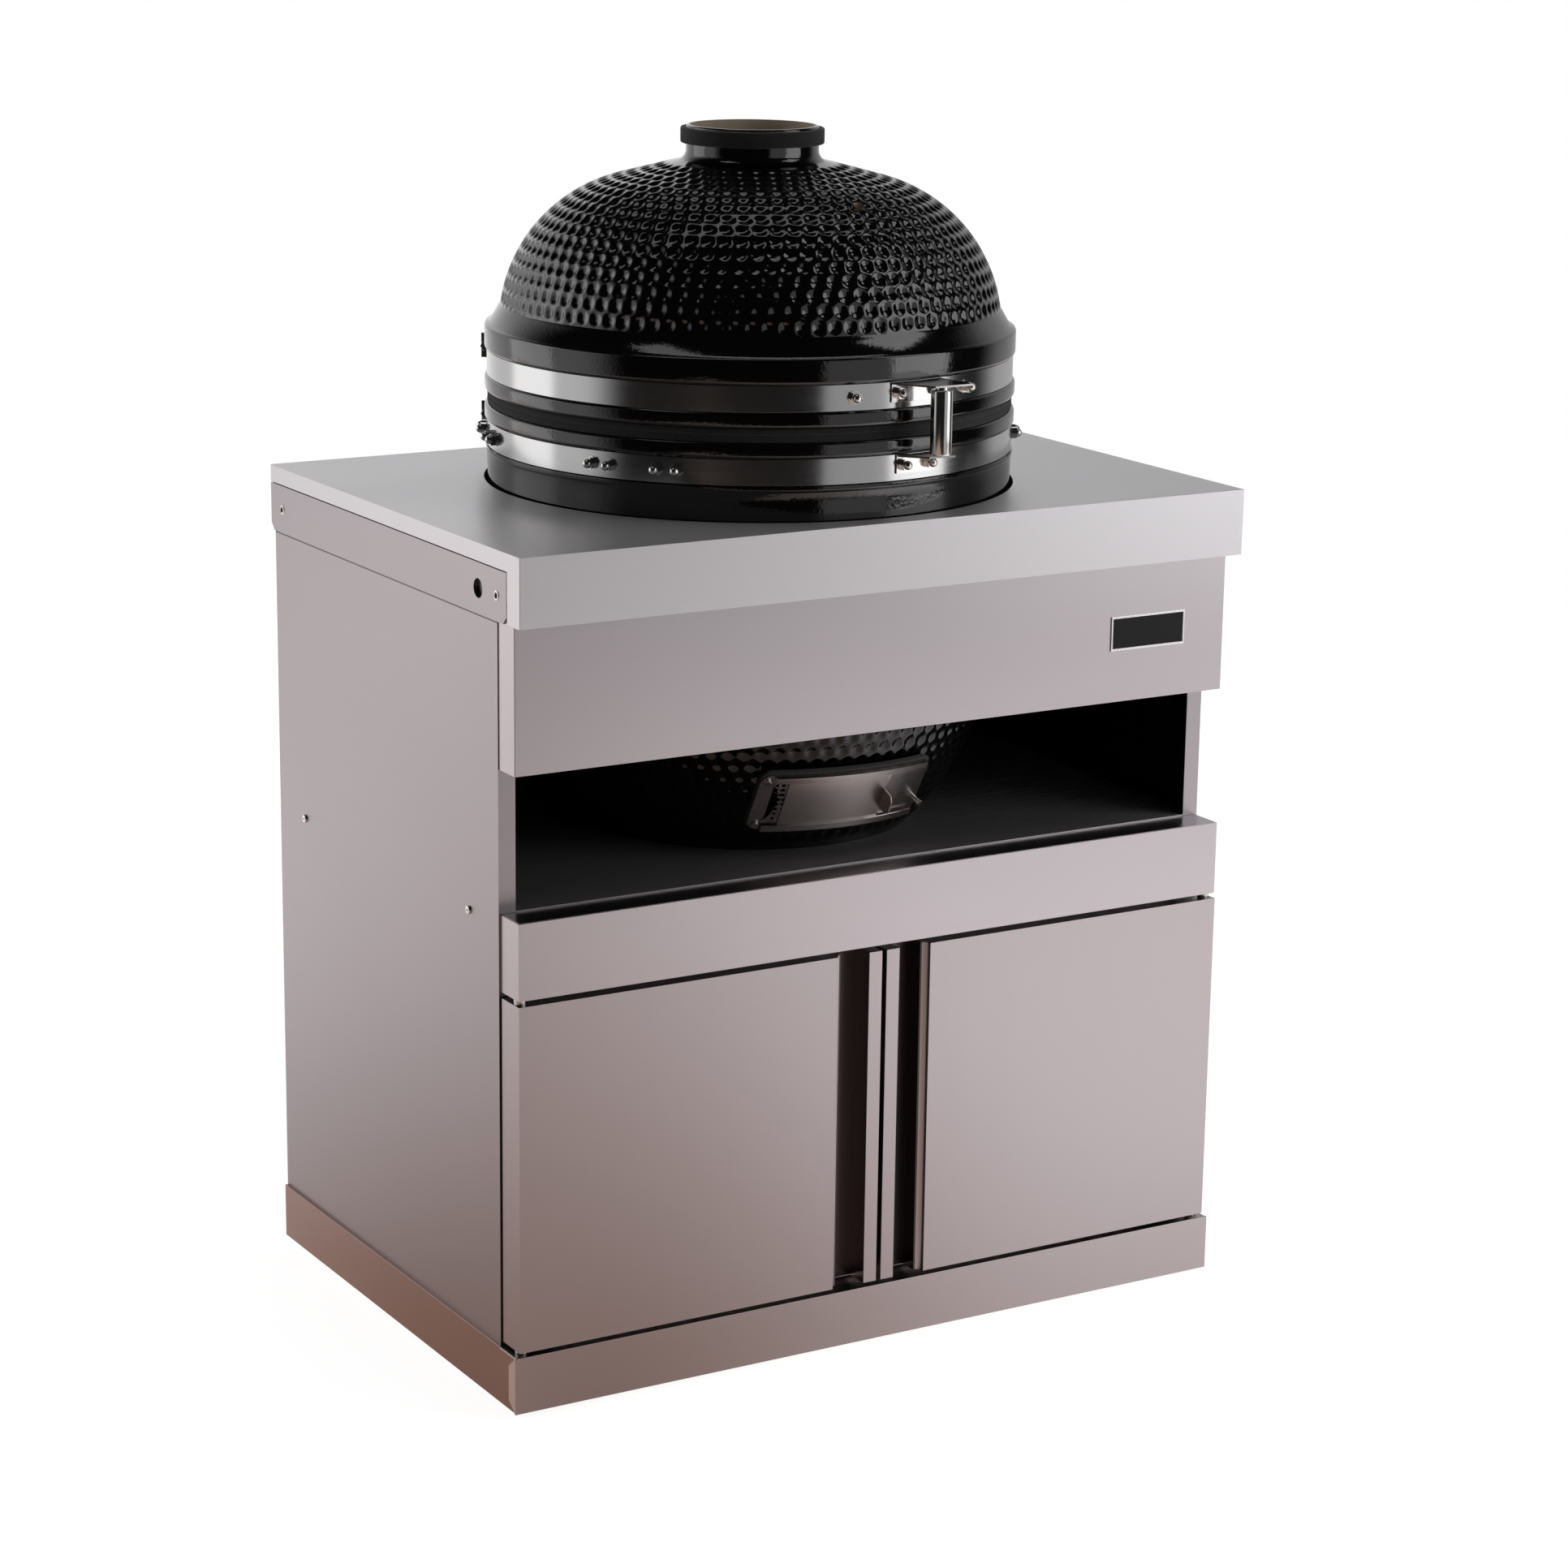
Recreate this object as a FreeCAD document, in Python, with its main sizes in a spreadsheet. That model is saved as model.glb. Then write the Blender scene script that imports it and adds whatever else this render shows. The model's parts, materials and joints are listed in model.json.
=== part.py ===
import FreeCAD, Part
import math
import os
import Sketcher
from FreeCAD import Placement, Rotation, Vector

# A kamado grill table: a stainless steel cabinet with an open niche and two doors, and a
# ceramic kamado that stands on the niche floor and comes up through the round worktop cut-out.
# Millimetres and degrees. Origin on the floor under the middle of the whole table, the hinge at
# its back counted in, x to the right, y to the back, z up.

SIZES = {
    # Worktop pan
    "worktop_width": 890,
    "worktop_front_margin": 25.5,
    "worktop_rear_margin": 5.5,
    "worktop_height": 923,
    "apron_height": 73,
    "side_lip_height": 19,
    "apron_return": 20,
    "sheet": 1.5,
    "cutout_clearance": 4,
    "cutout_rim_height": 12,
    # Side plates in the worktop's flanks, with their shelf sockets
    "side_plate_thickness": 4,
    "side_plate_height": 53.5,
    "side_plate_setback": 28,
    "side_plate_chamfer": 8,
    "side_plate_gap": 1,
    "socket_radius": 10,
    "socket_setback": 93,
    "plate_screw_front": 51,
    "plate_screw_back": 31,
    "screw_radius": 3,
    "screw_head_radius": 6,
    "screw_head_height": 3,
    # Carcass
    "carcass_setback": 57.5,
    "post_width": 19.5,
    "post_return": 12,
    "back_flange": 25,
    "niche_drop": 380,
    "niche_floor_sheet": 2,
    "floor_fold": 28,
    "stiffener_width": 60,
    "stiffener_depth": 25,
    "stiffener_place": 110,
    "shelf_screw_drop": 13.5,
    "shelf_screw_front": 69,
    "shelf_screw_back": 70,
    "vent_width": 60,
    "vent_height": 8,
    "vent_pitch": 90,
    "worktop_bracket_leg": 40,
    "worktop_bracket_length": 60,
    "worktop_bracket_place": 170,
    # Fascias
    "valance_setback": 22,
    "valance_height": 156,
    "valance_return": 15,
    "valance_overlap": 50,
    "badge_width": 98,
    "badge_height": 38,
    "badge_thickness": 1.6,
    "badge_inset": 104,
    "badge_rise": 77,
    "rail_setback": 16,
    "rail_height": 84,
    "door_stop_height": 20,
    # Plinth and feet
    "plinth_overhang": 5,
    "plinth_setback": 13.5,
    "plinth_height": 70.6,
    "plinth_gap": 8,
    "plinth_flange": 40,
    "plinth_corner_return": 16,
    "plinth_corner_chamfer": 12,
    "foot_radius": 20,
    "foot_pad_height": 7,
    "foot_stem_radius": 5,
    "foot_inset": 46,
    "foot_plate": 50,
    # Doors
    "door_middle_gap": 6,
    "door_setback": 15,
    "door_depth": 38,
    "door_side_gap": 1.5,
    "door_top_gap": 6,
    "door_bottom_gap": 4.5,
    "strip_width": 16,
    "channel_width": 31.5,
    "channel_depth": 30,
    "channel_bend": 8,
    "pin_radius": 4,
    "pin_reach": 16,
    "pin_inset": 7.5,
    "pin_setback": 12.5,
    "washer_radius": 6.5,
    "running_gap": 0.3,
    "pin_play": 0.05,
    "magnet_length": 40,
    "magnet_height": 10,
    "magnet_thickness": 2.7,
    # Kamado bowl, measured up from the niche floor
    "kamado_back": -4.03,
    "belly_radius": 289,
    "belly_height": 255,
    "bowl_curve": 372,
    "ceramic_wall": 24,
    "bowl_floor": 30,
    "band_seat_depth": 2,
    "band_height": 28,
    "band_drop": 45.3,
    "ring_stand": 3,
    "rim_rise": 83.3,
    "ring_round": 4,
    "felt_thickness": 7.2,
    "felt_setback": 3,
    # Lid
    "lid_band_rise": 17,
    "shoulder_height": 28,
    "skirt_height": 20,
    "dome_foot_inset": 17.5,
    "dome_curve": 169,
    "dome_centre_drop": 24.4,
    "crown_slope": 14.5,
    "neck_radius": 72.5,
    "neck_wall": 6.5,
    "neck_flare": 12,
    "neck_length": 26.75094,
    "collar_height": 17,
    "collar_thickness": 6,
    "collar_drop": 2.5,
    "gauge_hole_radius": 6.5,
    "gauge_slope": 28.6,
    "lid_turn": 7,
    # Bands, brackets and nuts
    "band_thickness": 2.5,
    "clamp_angle": 145.5,
    "lug_reach": 27,
    "lug_thickness": 3,
    "lug_gap": 8,
    "lug_bolt_place": 0.7,
    "clamp_bolt_radius": 3,
    "nut_radius": 7.5,
    "nut_height": 8,
    "nut_cap_height": 6,
    "shelf_bolt_angle": 28,
    "shelf_bolt_spread": 7.6,
    "shelf_bolt_pair": 2.2,
    "handle_bolt_angle": 15,
    "bracket_sheet": 2,
    "lift_half_angle": 6.6,
    "lift_leg_height": 21,
    "lift_flange_depth": 51,
    "lift_flange_cut": 22,
    "stop_half_angle": 5,
    "stop_leg_height": 20,
    "stop_flange_depth": 35,
    "stop_flange_cut": 21,
    "grip_radius": 11.5,
    "grip_reach": 35.5,
    "grip_side": 5,
    "grip_rest_gap": 2,
    "grip_chamfer": 2,
    "grip_neck_radius": 7,
    "grip_neck_height": 3.5,
    # Hinge at the back
    "hinge_reach": 30.5,
    "hinge_rise": 1.7,
    "hinge_pin_radius": 6,
    "hinge_pin_head": 3,
    "hinge_pin_head_length": 4,
    "hinge_ear": 4,
    "base_ear_place": 88,
    "ear_gap": 4,
    "ear_boss": 13,
    "spring_wire_radius": 2.5,
    "spring_coil_radius": 13,
    "spring_turns": 5,
    "spring_inner_end": 30,
    "spring_outer_end": 76,
    # Inside the kamado
    "grate_drop": 48.3,
    "fire_box_foot_gap": 4.47881,
    "fire_box_top_gap": 17,
    "fire_box_wall": 24,
    "fire_box_window": 128,
    "grate_ledge_height": 112,
    "grate_ledge": 20,
    "grate_ledge_wall": 5.07692,
    "charcoal_grate_thickness": 10,
    "fire_ring_height": 125,
    "fire_ring_gap": 13,
    "fire_ring_top_width": 20,
    "cooking_grate_inset": 10,
    "cooking_grate_height": 8,
    "cooking_bar_radius": 3,
    "cooking_bar_pitch": 20,
    # Draft door on the bowl, on a tangent cone at this height
    "draft_height": 72,
    "draft_felt": 5,
    "draft_frame_top": 38,
    "draft_frame_bottom": 40,
    "draft_turn": 3.5,
    "draft_half_width": 102,
    "draft_cut_reach": 60,
    "draft_corner": 12,
    "draft_sheet": 1.5,
    "draft_slide_sheet": 1.2,
    "draft_lip_cover": 8,
    "draft_lip_left": 89,
    "draft_lip_right": 95,
    "draft_window_top": 27,
    "draft_window_left": 87,
    "draft_window_right": 44,
    "slide_left": 73,
    "slide_right": 44.5,
    "screen_left": 88,
    "screen_right": 64.5,
    "screen_finger_radius": 33,
    "screen_finger_depth": 8.5,
    "perforation_radius": 1.8,
    "perforation_pitch": 6.9,
    "tab_reach": 21,
    "tab_length": 26,
    "tab_drop": 5.5,
    "tab_corner_lift": 3,
    "draft_screw_top": 29,
    "draft_screw_bottom": 33,
    "draft_screw_top_side": 93.09507,
    "draft_screw_bottom_side": 91.36977,
    "draft_standoff_side": 94.171,
    "draft_standoff": 9,
    "draft_standoff_drop": 19,
}


class Size:
    """A number together with the sheet formula that gives it."""

    def __init__(self, number, formula):
        self.number = float(number)
        self.formula = formula

    def __add__(self, other):
        other = as_size(other)
        return Size(self.number + other.number, f"({self.formula} + {other.formula})")

    def __sub__(self, other):
        other = as_size(other)
        return Size(self.number - other.number, f"({self.formula} - {other.formula})")

    def __mul__(self, other):
        other = as_size(other)
        return Size(self.number * other.number, f"({self.formula} * {other.formula})")

    def __truediv__(self, other):
        other = as_size(other)
        return Size(self.number / other.number, f"({self.formula} / {other.formula})")

    def __radd__(self, other):
        return as_size(other) + self

    def __rsub__(self, other):
        return as_size(other) - self

    def __rmul__(self, other):
        return as_size(other) * self

    def __neg__(self):
        return as_size(0) - self


def as_size(value):
    if isinstance(value, Size):
        return value
    return Size(value, f"({float(value)})")


def root(size):
    return Size(math.sqrt(size.number), f"sqrt({size.formula})")


def sine(size):
    return Size(math.sin(math.radians(size.number)), f"sin({size.formula})")


def cosine(size):
    return Size(math.cos(math.radians(size.number)), f"cos({size.formula})")


def arcsine(size):
    return Size(math.degrees(math.asin(size.number)), f"asin({size.formula})")


def across(radius, side):
    """How far out a circle of this radius lies at this distance to its side."""
    return root(radius * radius - side * side)


doc = FreeCAD.newDocument("KamadoGrillTable")
sheet_of_sizes = doc.addObject("Spreadsheet::Sheet", "Sizes")
for row, (alias, number) in enumerate(SIZES.items(), start=1):
    sheet_of_sizes.set(f"A{row}", alias.replace("_", " "))
    sheet_of_sizes.set(f"B{row}", str(number))
    sheet_of_sizes.setAlias(f"B{row}", alias)
doc.recompute()


def size(alias):
    return Size(sheet_of_sizes.get(alias), f"Sizes.{alias}")


pieces = {}


def piece(label, item):
    """Name a finished sub-part of the table."""
    item.Label = label
    pieces[label] = item
    return item


def bind(item, path, value):
    item.setExpression(path, as_size(value).formula)


def block(x, y, z):
    """A box between (low, high) pairs."""
    item = doc.addObject("Part::Box", "Block")
    for edge, (low, high) in zip(("Length", "Width", "Height"), (x, y, z)):
        bind(item, edge, high - low)
    for way, (low, high) in zip("xyz", (x, y, z)):
        bind(item, f"Placement.Base.{way}", low)
    return item


AXIS_TURNS = {
    "x": Rotation(Vector(0, 1, 0), 90),
    "y": Rotation(Vector(1, 0, 0), -90),
    "z": Rotation(),
}


def aim(item, axis, start):
    item.Placement = Placement(Vector(), AXIS_TURNS[axis])
    for way, place in zip("xyz", start):
        bind(item, f"Placement.Base.{way}", place)
    return item


def rod(axis, start, length, radius):
    """A cylinder from a start point along an axis."""
    item = doc.addObject("Part::Cylinder", "Rod")
    bind(item, "Radius", radius)
    bind(item, "Height", length)
    return aim(item, axis, start)


def taper(axis, start, length, radius, end_radius):
    item = doc.addObject("Part::Cone", "Taper")
    bind(item, "Radius1", radius)
    bind(item, "Radius2", end_radius)
    bind(item, "Height", length)
    return aim(item, axis, start)


def hexagon(axis, start, length, radius):
    item = doc.addObject("Part::Prism", "Hexagon")
    item.Polygon = 6
    bind(item, "Circumradius", radius)
    bind(item, "Height", length)
    return aim(item, axis, start)


def fuse(*items):
    item = doc.addObject("Part::MultiFuse", "Joined")
    item.Shapes = list(items)
    return item


def carve(base, *tools):
    item = doc.addObject("Part::Cut", "Carved")
    item.Base = base
    item.Tool = tools[0] if len(tools) == 1 else fuse(*tools)
    return item


def gather(*items):
    item = doc.addObject("Part::Compound", "Group")
    item.Links = list(items)
    return item


def overlap(*items):
    item = doc.addObject("Part::MultiCommon", "Overlap")
    item.Shapes = list(items)
    return item


def turned(item, angle):
    """A copy of an item, turned about the z axis."""
    copy = gather(item)
    copy.Placement = Placement(Vector(), Rotation(Vector(0, 0, 1), as_size(angle).number))
    bind(copy, "Placement.Rotation.Angle", angle)
    return copy


def outline(body, plane, corners, offset):
    """A closed sketch through corners (x, y), or (x, y, bend) before an arc of that radius.

    A positive bend has its centre on the left of the way round, a negative one on the right.
    """
    sketch = body.newObject("Sketcher::SketchObject", body.Name + "Outline")
    support = next(item for item in body.Origin.OriginFeatures if item.Role == plane)
    sketch.AttachmentSupport = [(support, "")]
    sketch.MapMode = "FlatFace"
    bind(sketch, "AttachmentOffset.Base.z", offset)
    corners = [tuple(as_size(value) for value in corner) for corner in corners]
    spots = [Vector(corner[0].number, corner[1].number, 0) for corner in corners]
    starts = []
    ends = []
    for index, corner in enumerate(corners):
        here = spots[index]
        there = spots[(index + 1) % len(spots)]
        if len(corner) == 2:
            edge = Part.LineSegment(here, there)
            forward = True
        else:
            chord = there - here
            radius = abs(corner[2].number)
            rise = radius - math.sqrt(radius ** 2 - chord.Length ** 2 / 4)
            forward = corner[2].number > 0
            outward = Vector(chord.y, -chord.x, 0).normalize() * (rise if forward else -rise)
            middle = (here + there) * 0.5 + outward
            edge = Part.Arc(here, middle, there) if forward else Part.Arc(there, middle, here)
        sketch.addGeometry(edge, False)
        starts.append((index, 1 if forward else 2))
        ends.append((index, 2 if forward else 1))
    for index, corner in enumerate(corners):
        sketch.addConstraint(Sketcher.Constraint("Coincident", *ends[index - 1], *starts[index]))
        for way, value in zip(("DistanceX", "DistanceY"), corner):
            rule = Sketcher.Constraint(way, -1, 1, *starts[index], value.number)
            number = sketch.addConstraint(rule)
            bind(sketch, f"Constraints[{number}]", value)
        if len(corner) == 3:
            bend = corner[2] if corner[2].number > 0 else -corner[2]
            number = sketch.addConstraint(Sketcher.Constraint("Radius", index, bend.number))
            bind(sketch, f"Constraints[{number}]", bend)
    return sketch


def prism(plane, corners, low, high):
    """An outline in one of the main planes, padded from low to high across it."""
    body = doc.addObject("PartDesign::Body", "Prism")
    # The XZ plane faces the front, so its sketch starts at the back of the pad.
    offset = -as_size(high) if plane == "XZ_Plane" else low
    pad = body.newObject("PartDesign::Pad", body.Name + "Pad")
    pad.Profile = outline(body, plane, corners, offset)
    bind(pad, "Length", high - low)
    body.Tip = pad
    return body


def spun(corners, angle=360):
    """An outline of (radius, height) turned about the z axis, or a sector about the x axis."""
    body = doc.addObject("PartDesign::Body", "Spun")
    sketch = outline(body, "XZ_Plane", corners, 0)
    turn = body.newObject("PartDesign::Revolution", body.Name + "Turn")
    turn.Profile = sketch
    turn.ReferenceAxis = (sketch, ["V_Axis"])
    angle = as_size(angle)
    turn.Angle = angle.number
    if angle.number < 360:
        turn.Midplane = True
        bind(turn, "Angle", angle)
    body.Tip = turn
    return body


def box_ring(inner, outer, low, high, angle=360):
    """A ring or sector of rectangular section."""
    return spun([(inner, low), (outer, low), (outer, high), (inner, high)], angle)


def mirrored_corners(side, corners):
    return [(side * corner[0],) + tuple(corner[1:]) for corner in corners]


sheet = size("sheet")
kamado_back = size("kamado_back")
cutout_radius = size("belly_radius") + size("cutout_clearance")
front = kamado_back - cutout_radius - size("worktop_front_margin")
back = kamado_back + cutout_radius + size("worktop_rear_margin")
top = size("worktop_height")
half_worktop = size("worktop_width") / 2
half_cabinet = half_worktop - size("side_plate_thickness")
half_plinth = half_cabinet + size("plinth_overhang")
carcass_front = front + size("carcass_setback")
carcass_back = back - sheet
niche_floor = top - size("niche_drop")
running_gap = size("running_gap")
SIDES = {"left": -1, "right": 1}


def pair(side, near, far):
    """The (low, high) pair of a stretch that is mirrored to one side."""
    return (near, far) if side > 0 else (-far, -near)


# Worktop: one folded pan with a deep front apron, low lips on the other sides and a
# turned-down rim round the kamado's cut-out.
def build_worktop():
    apron_low = top - size("apron_height")
    lip_low = top - size("side_lip_height")
    inner = half_worktop - sheet
    pan = block((-half_worktop, half_worktop), (front, back), (apron_low, top))
    hollow = block((-inner, inner), (front + sheet, back - sheet), (apron_low - 1, top - sheet))
    flank_front = front + size("side_plate_setback")
    flanks = [
        block(pair(side, inner - 1, half_worktop + 1), (flank_front, back + 1), (apron_low - 1, lip_low))
        for side in SIDES.values()
    ]
    rear = block((-half_worktop, half_worktop), (back - sheet - 1, back + 1), (apron_low - 1, lip_low))
    hole = rod("z", (0, kamado_back, top - 20), 40, cutout_radius)
    rim_low = top - size("cutout_rim_height")
    rim = carve(
        rod("z", (0, kamado_back, rim_low), size("cutout_rim_height"), cutout_radius + sheet),
        rod("z", (0, kamado_back, rim_low - 1), size("cutout_rim_height") + 2, cutout_radius),
    )
    lip = block((-inner, inner), (front + sheet, front + sheet + size("apron_return")),
                (apron_low, apron_low + sheet))
    shell = carve(pan, hollow, *flanks, rear, hole)
    piece("worktop", fuse(shell, lip, rim))


plate_top = top - size("side_lip_height") - size("side_plate_gap")
plate_low = plate_top - size("side_plate_height")
plate_middle = (plate_top + plate_low) / 2


def build_side_plates():
    middle = plate_middle
    plate_front = front + size("side_plate_setback") + size("side_plate_gap")
    chamfer = size("side_plate_chamfer")
    thickness = size("side_plate_thickness")
    screw = size("screw_radius")
    head = size("screw_head_radius")
    screws = []
    for name, side in SIDES.items():
        low, high = pair(side, half_worktop - thickness, half_worktop)
        plate = prism("YZ_Plane", [
            (plate_front, plate_low + chamfer),
            (plate_front + chamfer, plate_low),
            (back - chamfer, plate_low),
            (back, plate_low + chamfer),
            (back, plate_top),
            (plate_front, plate_top),
        ], low, high)
        spots = (front + size("plate_screw_front"), back - size("plate_screw_back"))
        socket = rod("x", (low - 1, front + size("socket_setback"), middle), thickness + 2,
                     size("socket_radius"))
        holes = [rod("x", (low - 1, spot, middle), thickness + 2, screw) for spot in spots]
        piece(f"side_plate_{name}", carve(plate, socket, *holes))
        outer = half_worktop if side > 0 else -half_worktop - size("screw_head_height")
        for spot in spots:
            shank = rod("x", (low, spot, middle), thickness, screw)
            cap = rod("x", (outer, spot, middle), size("screw_head_height"), head)
            screws.append(fuse(shank, cap))
    piece("side_plate_screws", gather(*screws))


# Carcass: folded side panels whose front flanges are the posts of the niche.
def build_side_panels():
    post = size("post_width")
    lip = carcass_front + size("post_return")
    flange = size("back_flange")
    outer = half_cabinet
    for name, side in SIDES.items():
        corners = [
            (outer, carcass_front),
            (outer, carcass_back),
            (outer - flange, carcass_back),
            (outer - flange, carcass_back - sheet),
            (outer - sheet, carcass_back - sheet),
            (outer - sheet, carcass_front + sheet),
            (outer - post + sheet, carcass_front + sheet),
            (outer - post + sheet, lip),
            (outer - post, lip),
            (outer - post, carcass_front),
        ]
        panel = prism("XY_Plane", mirrored_corners(side, corners), size("plinth_height"), top - sheet)
        low = pair(side, outer - sheet, outer)[0]
        level = niche_floor - size("shelf_screw_drop")
        spots = (carcass_front + size("shelf_screw_front"), carcass_back - size("shelf_screw_back"))
        holes = [rod("x", (low - 1, spot, level), sheet + 2, size("screw_radius")) for spot in spots]
        piece(f"side_panel_{name}", carve(panel, *holes))


def build_back_panel():
    inner = half_cabinet - sheet
    wide = size("vent_width") / 2
    slots = []
    for level in (size("plinth_height") + 60, niche_floor - 60):
        for column in range(-2, 3):
            middle = column * size("vent_pitch")
            slots.append(block((middle - wide, middle + wide), (carcass_back - 5, carcass_back),
                               (level, level + size("vent_height"))))
    panel = block((-inner, inner), (carcass_back - 2 * sheet, carcass_back - sheet),
                  (size("plinth_height") + sheet, top - size("side_lip_height")))
    piece("back_panel", carve(panel, *slots))


def folded_floor(level, thickness):
    """A floor sheet between the side panels, with a front tongue between the posts."""
    inner = half_cabinet - sheet
    tongue = half_cabinet - size("post_width") - running_gap
    tongue_back = carcass_front + size("post_return") + running_gap
    rear = carcass_back - 2 * sheet
    fold = size("floor_fold")
    main = block((-inner, inner), (tongue_back, rear), (level - thickness, level))
    nose = block((-tongue, tongue), (carcass_front, tongue_back), (level - thickness, level))
    front_fold = block((-tongue, tongue), (carcass_front, carcass_front + thickness),
                       (level - thickness * 8, level - thickness))
    folds = [
        block(pair(side, inner - thickness, inner), (tongue_back + 2, rear),
              (level - fold, level - thickness))
        for side in SIDES.values()
    ]
    return main, nose, front_fold, *folds


def build_niche_shelf():
    thickness = size("niche_floor_sheet")
    level = niche_floor - size("shelf_screw_drop")
    inner = half_cabinet - sheet
    spots = (carcass_front + size("shelf_screw_front"), carcass_back - size("shelf_screw_back"))
    screw = size("screw_radius")
    reach = thickness + sheet
    holes = []
    screws = []
    for side in SIDES.values():
        low = pair(side, inner - thickness, half_cabinet)[0]
        outer = half_cabinet if side > 0 else -half_cabinet - size("screw_head_height")
        for spot in spots:
            holes.append(rod("x", (low - 1, spot, level), reach + 2, screw))
            shank = rod("x", (low, spot, level), reach, screw)
            cap = rod("x", (outer, spot, level), size("screw_head_height"), size("screw_head_radius"))
            screws.append(fuse(shank, cap))
    piece("niche_shelf", carve(fuse(*folded_floor(niche_floor, thickness)), *holes))
    piece("shelf_screws", gather(*screws))
    under = niche_floor - thickness
    depth = size("stiffener_depth")
    half = size("stiffener_width") / 2
    beams = []
    for place in (kamado_back - size("stiffener_place"), kamado_back + size("stiffener_place")):
        channel = [
            (place - half, under - depth),
            (place + half, under - depth),
            (place + half, under),
            (place + half - thickness, under),
            (place + half - thickness, under - depth + thickness),
            (place - half + thickness, under - depth + thickness),
            (place - half + thickness, under),
            (place - half, under),
        ]
        reach = inner - thickness
        beams.append(prism("YZ_Plane", channel, -reach, reach))
    piece("shelf_stiffeners", gather(*beams))


def build_cabinet_floor():
    level = size("plinth_height") + sheet
    inner = half_cabinet - sheet
    tongue = half_cabinet - size("post_width") - running_gap
    tongue_back = carcass_front + size("post_return") + running_gap
    rear = carcass_back - 2 * sheet
    main = block((-inner, inner), (tongue_back, rear), (level - sheet, level))
    nose = block((-tongue, tongue), (carcass_front, tongue_back), (level - sheet, level))
    piece("cabinet_floor", fuse(main, nose))


def build_worktop_angles():
    outer = half_cabinet - sheet
    leg = size("worktop_bracket_leg")
    half = size("worktop_bracket_length") / 2
    high = top - sheet
    middle = (front + back) / 2
    angles = []
    for side in SIDES.values():
        for place in (middle - size("worktop_bracket_place"), middle + size("worktop_bracket_place")):
            stretch = (place - half, place + half)
            upright = block(pair(side, outer - sheet, outer), stretch, (high - leg, high))
            flat = block(pair(side, outer - leg, outer), stretch, (high - sheet, high))
            angles.append(fuse(upright, flat))
    piece("worktop_angles", gather(*angles))


# Fascias: folded boxes that stand proud of the carcass, open at the back.
valance_front = front + size("valance_setback")


def build_valance():
    low = top - size("apron_height") - size("valance_height")
    high = top - size("apron_height") + size("valance_overlap")
    half = half_cabinet - 1
    outer = block((-half, half), (valance_front, carcass_front), (low, high))
    inside = block((-half + sheet, half - sheet), (valance_front + sheet, carcass_front + 1),
                   (low + sheet, high + 1))
    under = block((-half + sheet, half - sheet),
                  (valance_front + size("valance_return"), carcass_front + 1), (low - 1, low + sheet))
    piece("valance", carve(outer, inside, under))
    badge_low = low + size("badge_rise") - size("badge_height") / 2
    badge_high = badge_low + size("badge_height")
    badge_left = half_cabinet - size("badge_inset") - size("badge_width") / 2
    badge_right = badge_left + size("badge_width")
    rim = 2
    face = valance_front - size("badge_thickness")
    plate = block((badge_left, badge_right), (face, valance_front), (badge_low, badge_high))
    field = block((badge_left + rim, badge_right - rim), (face - 1, face + size("badge_thickness") / 3),
                  (badge_low + rim, badge_high - rim))
    piece("badge_plate", carve(plate, field))


rail_front = front + size("rail_setback")
rail_low = niche_floor - size("rail_height")
door_back_corner = size("door_side_gap")
pin_line = half_cabinet - door_back_corner - size("pin_inset")
door_front = front + size("door_setback")
door_back = door_front + size("door_depth")
pin_depth = door_front + size("pin_setback")


def build_rail():
    half = half_cabinet - 2
    outer = block((-half, half), (rail_front, carcass_front), (rail_low, niche_floor))
    inside = block((-half + sheet, half - sheet), (rail_front + sheet, carcass_front + 1),
                   (rail_low + sheet, niche_floor - sheet))
    holes = [
        rod("z", (side * pin_line, pin_depth, rail_low - 1), sheet + 2,
            size("pin_radius") + size("pin_play"))
        for side in SIDES.values()
    ]
    between = half_cabinet - size("post_width") - running_gap
    stop = block((-between, between), (carcass_front - sheet, carcass_front),
                 (rail_low - size("door_stop_height"), rail_low))
    piece("ledge_rail", fuse(carve(outer, inside, *holes), stop))
    level = rail_low - size("door_stop_height") / 2
    magnets = []
    for side in SIDES.values():
        face = carcass_front - sheet
        magnets.append(block(pair(side, 20, 20 + size("magnet_length")),
                             (face - size("magnet_thickness") + sheet, face),
                             (level - size("magnet_height") / 2, level + size("magnet_height") / 2)))
    piece("catch_magnets", gather(*magnets))


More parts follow.
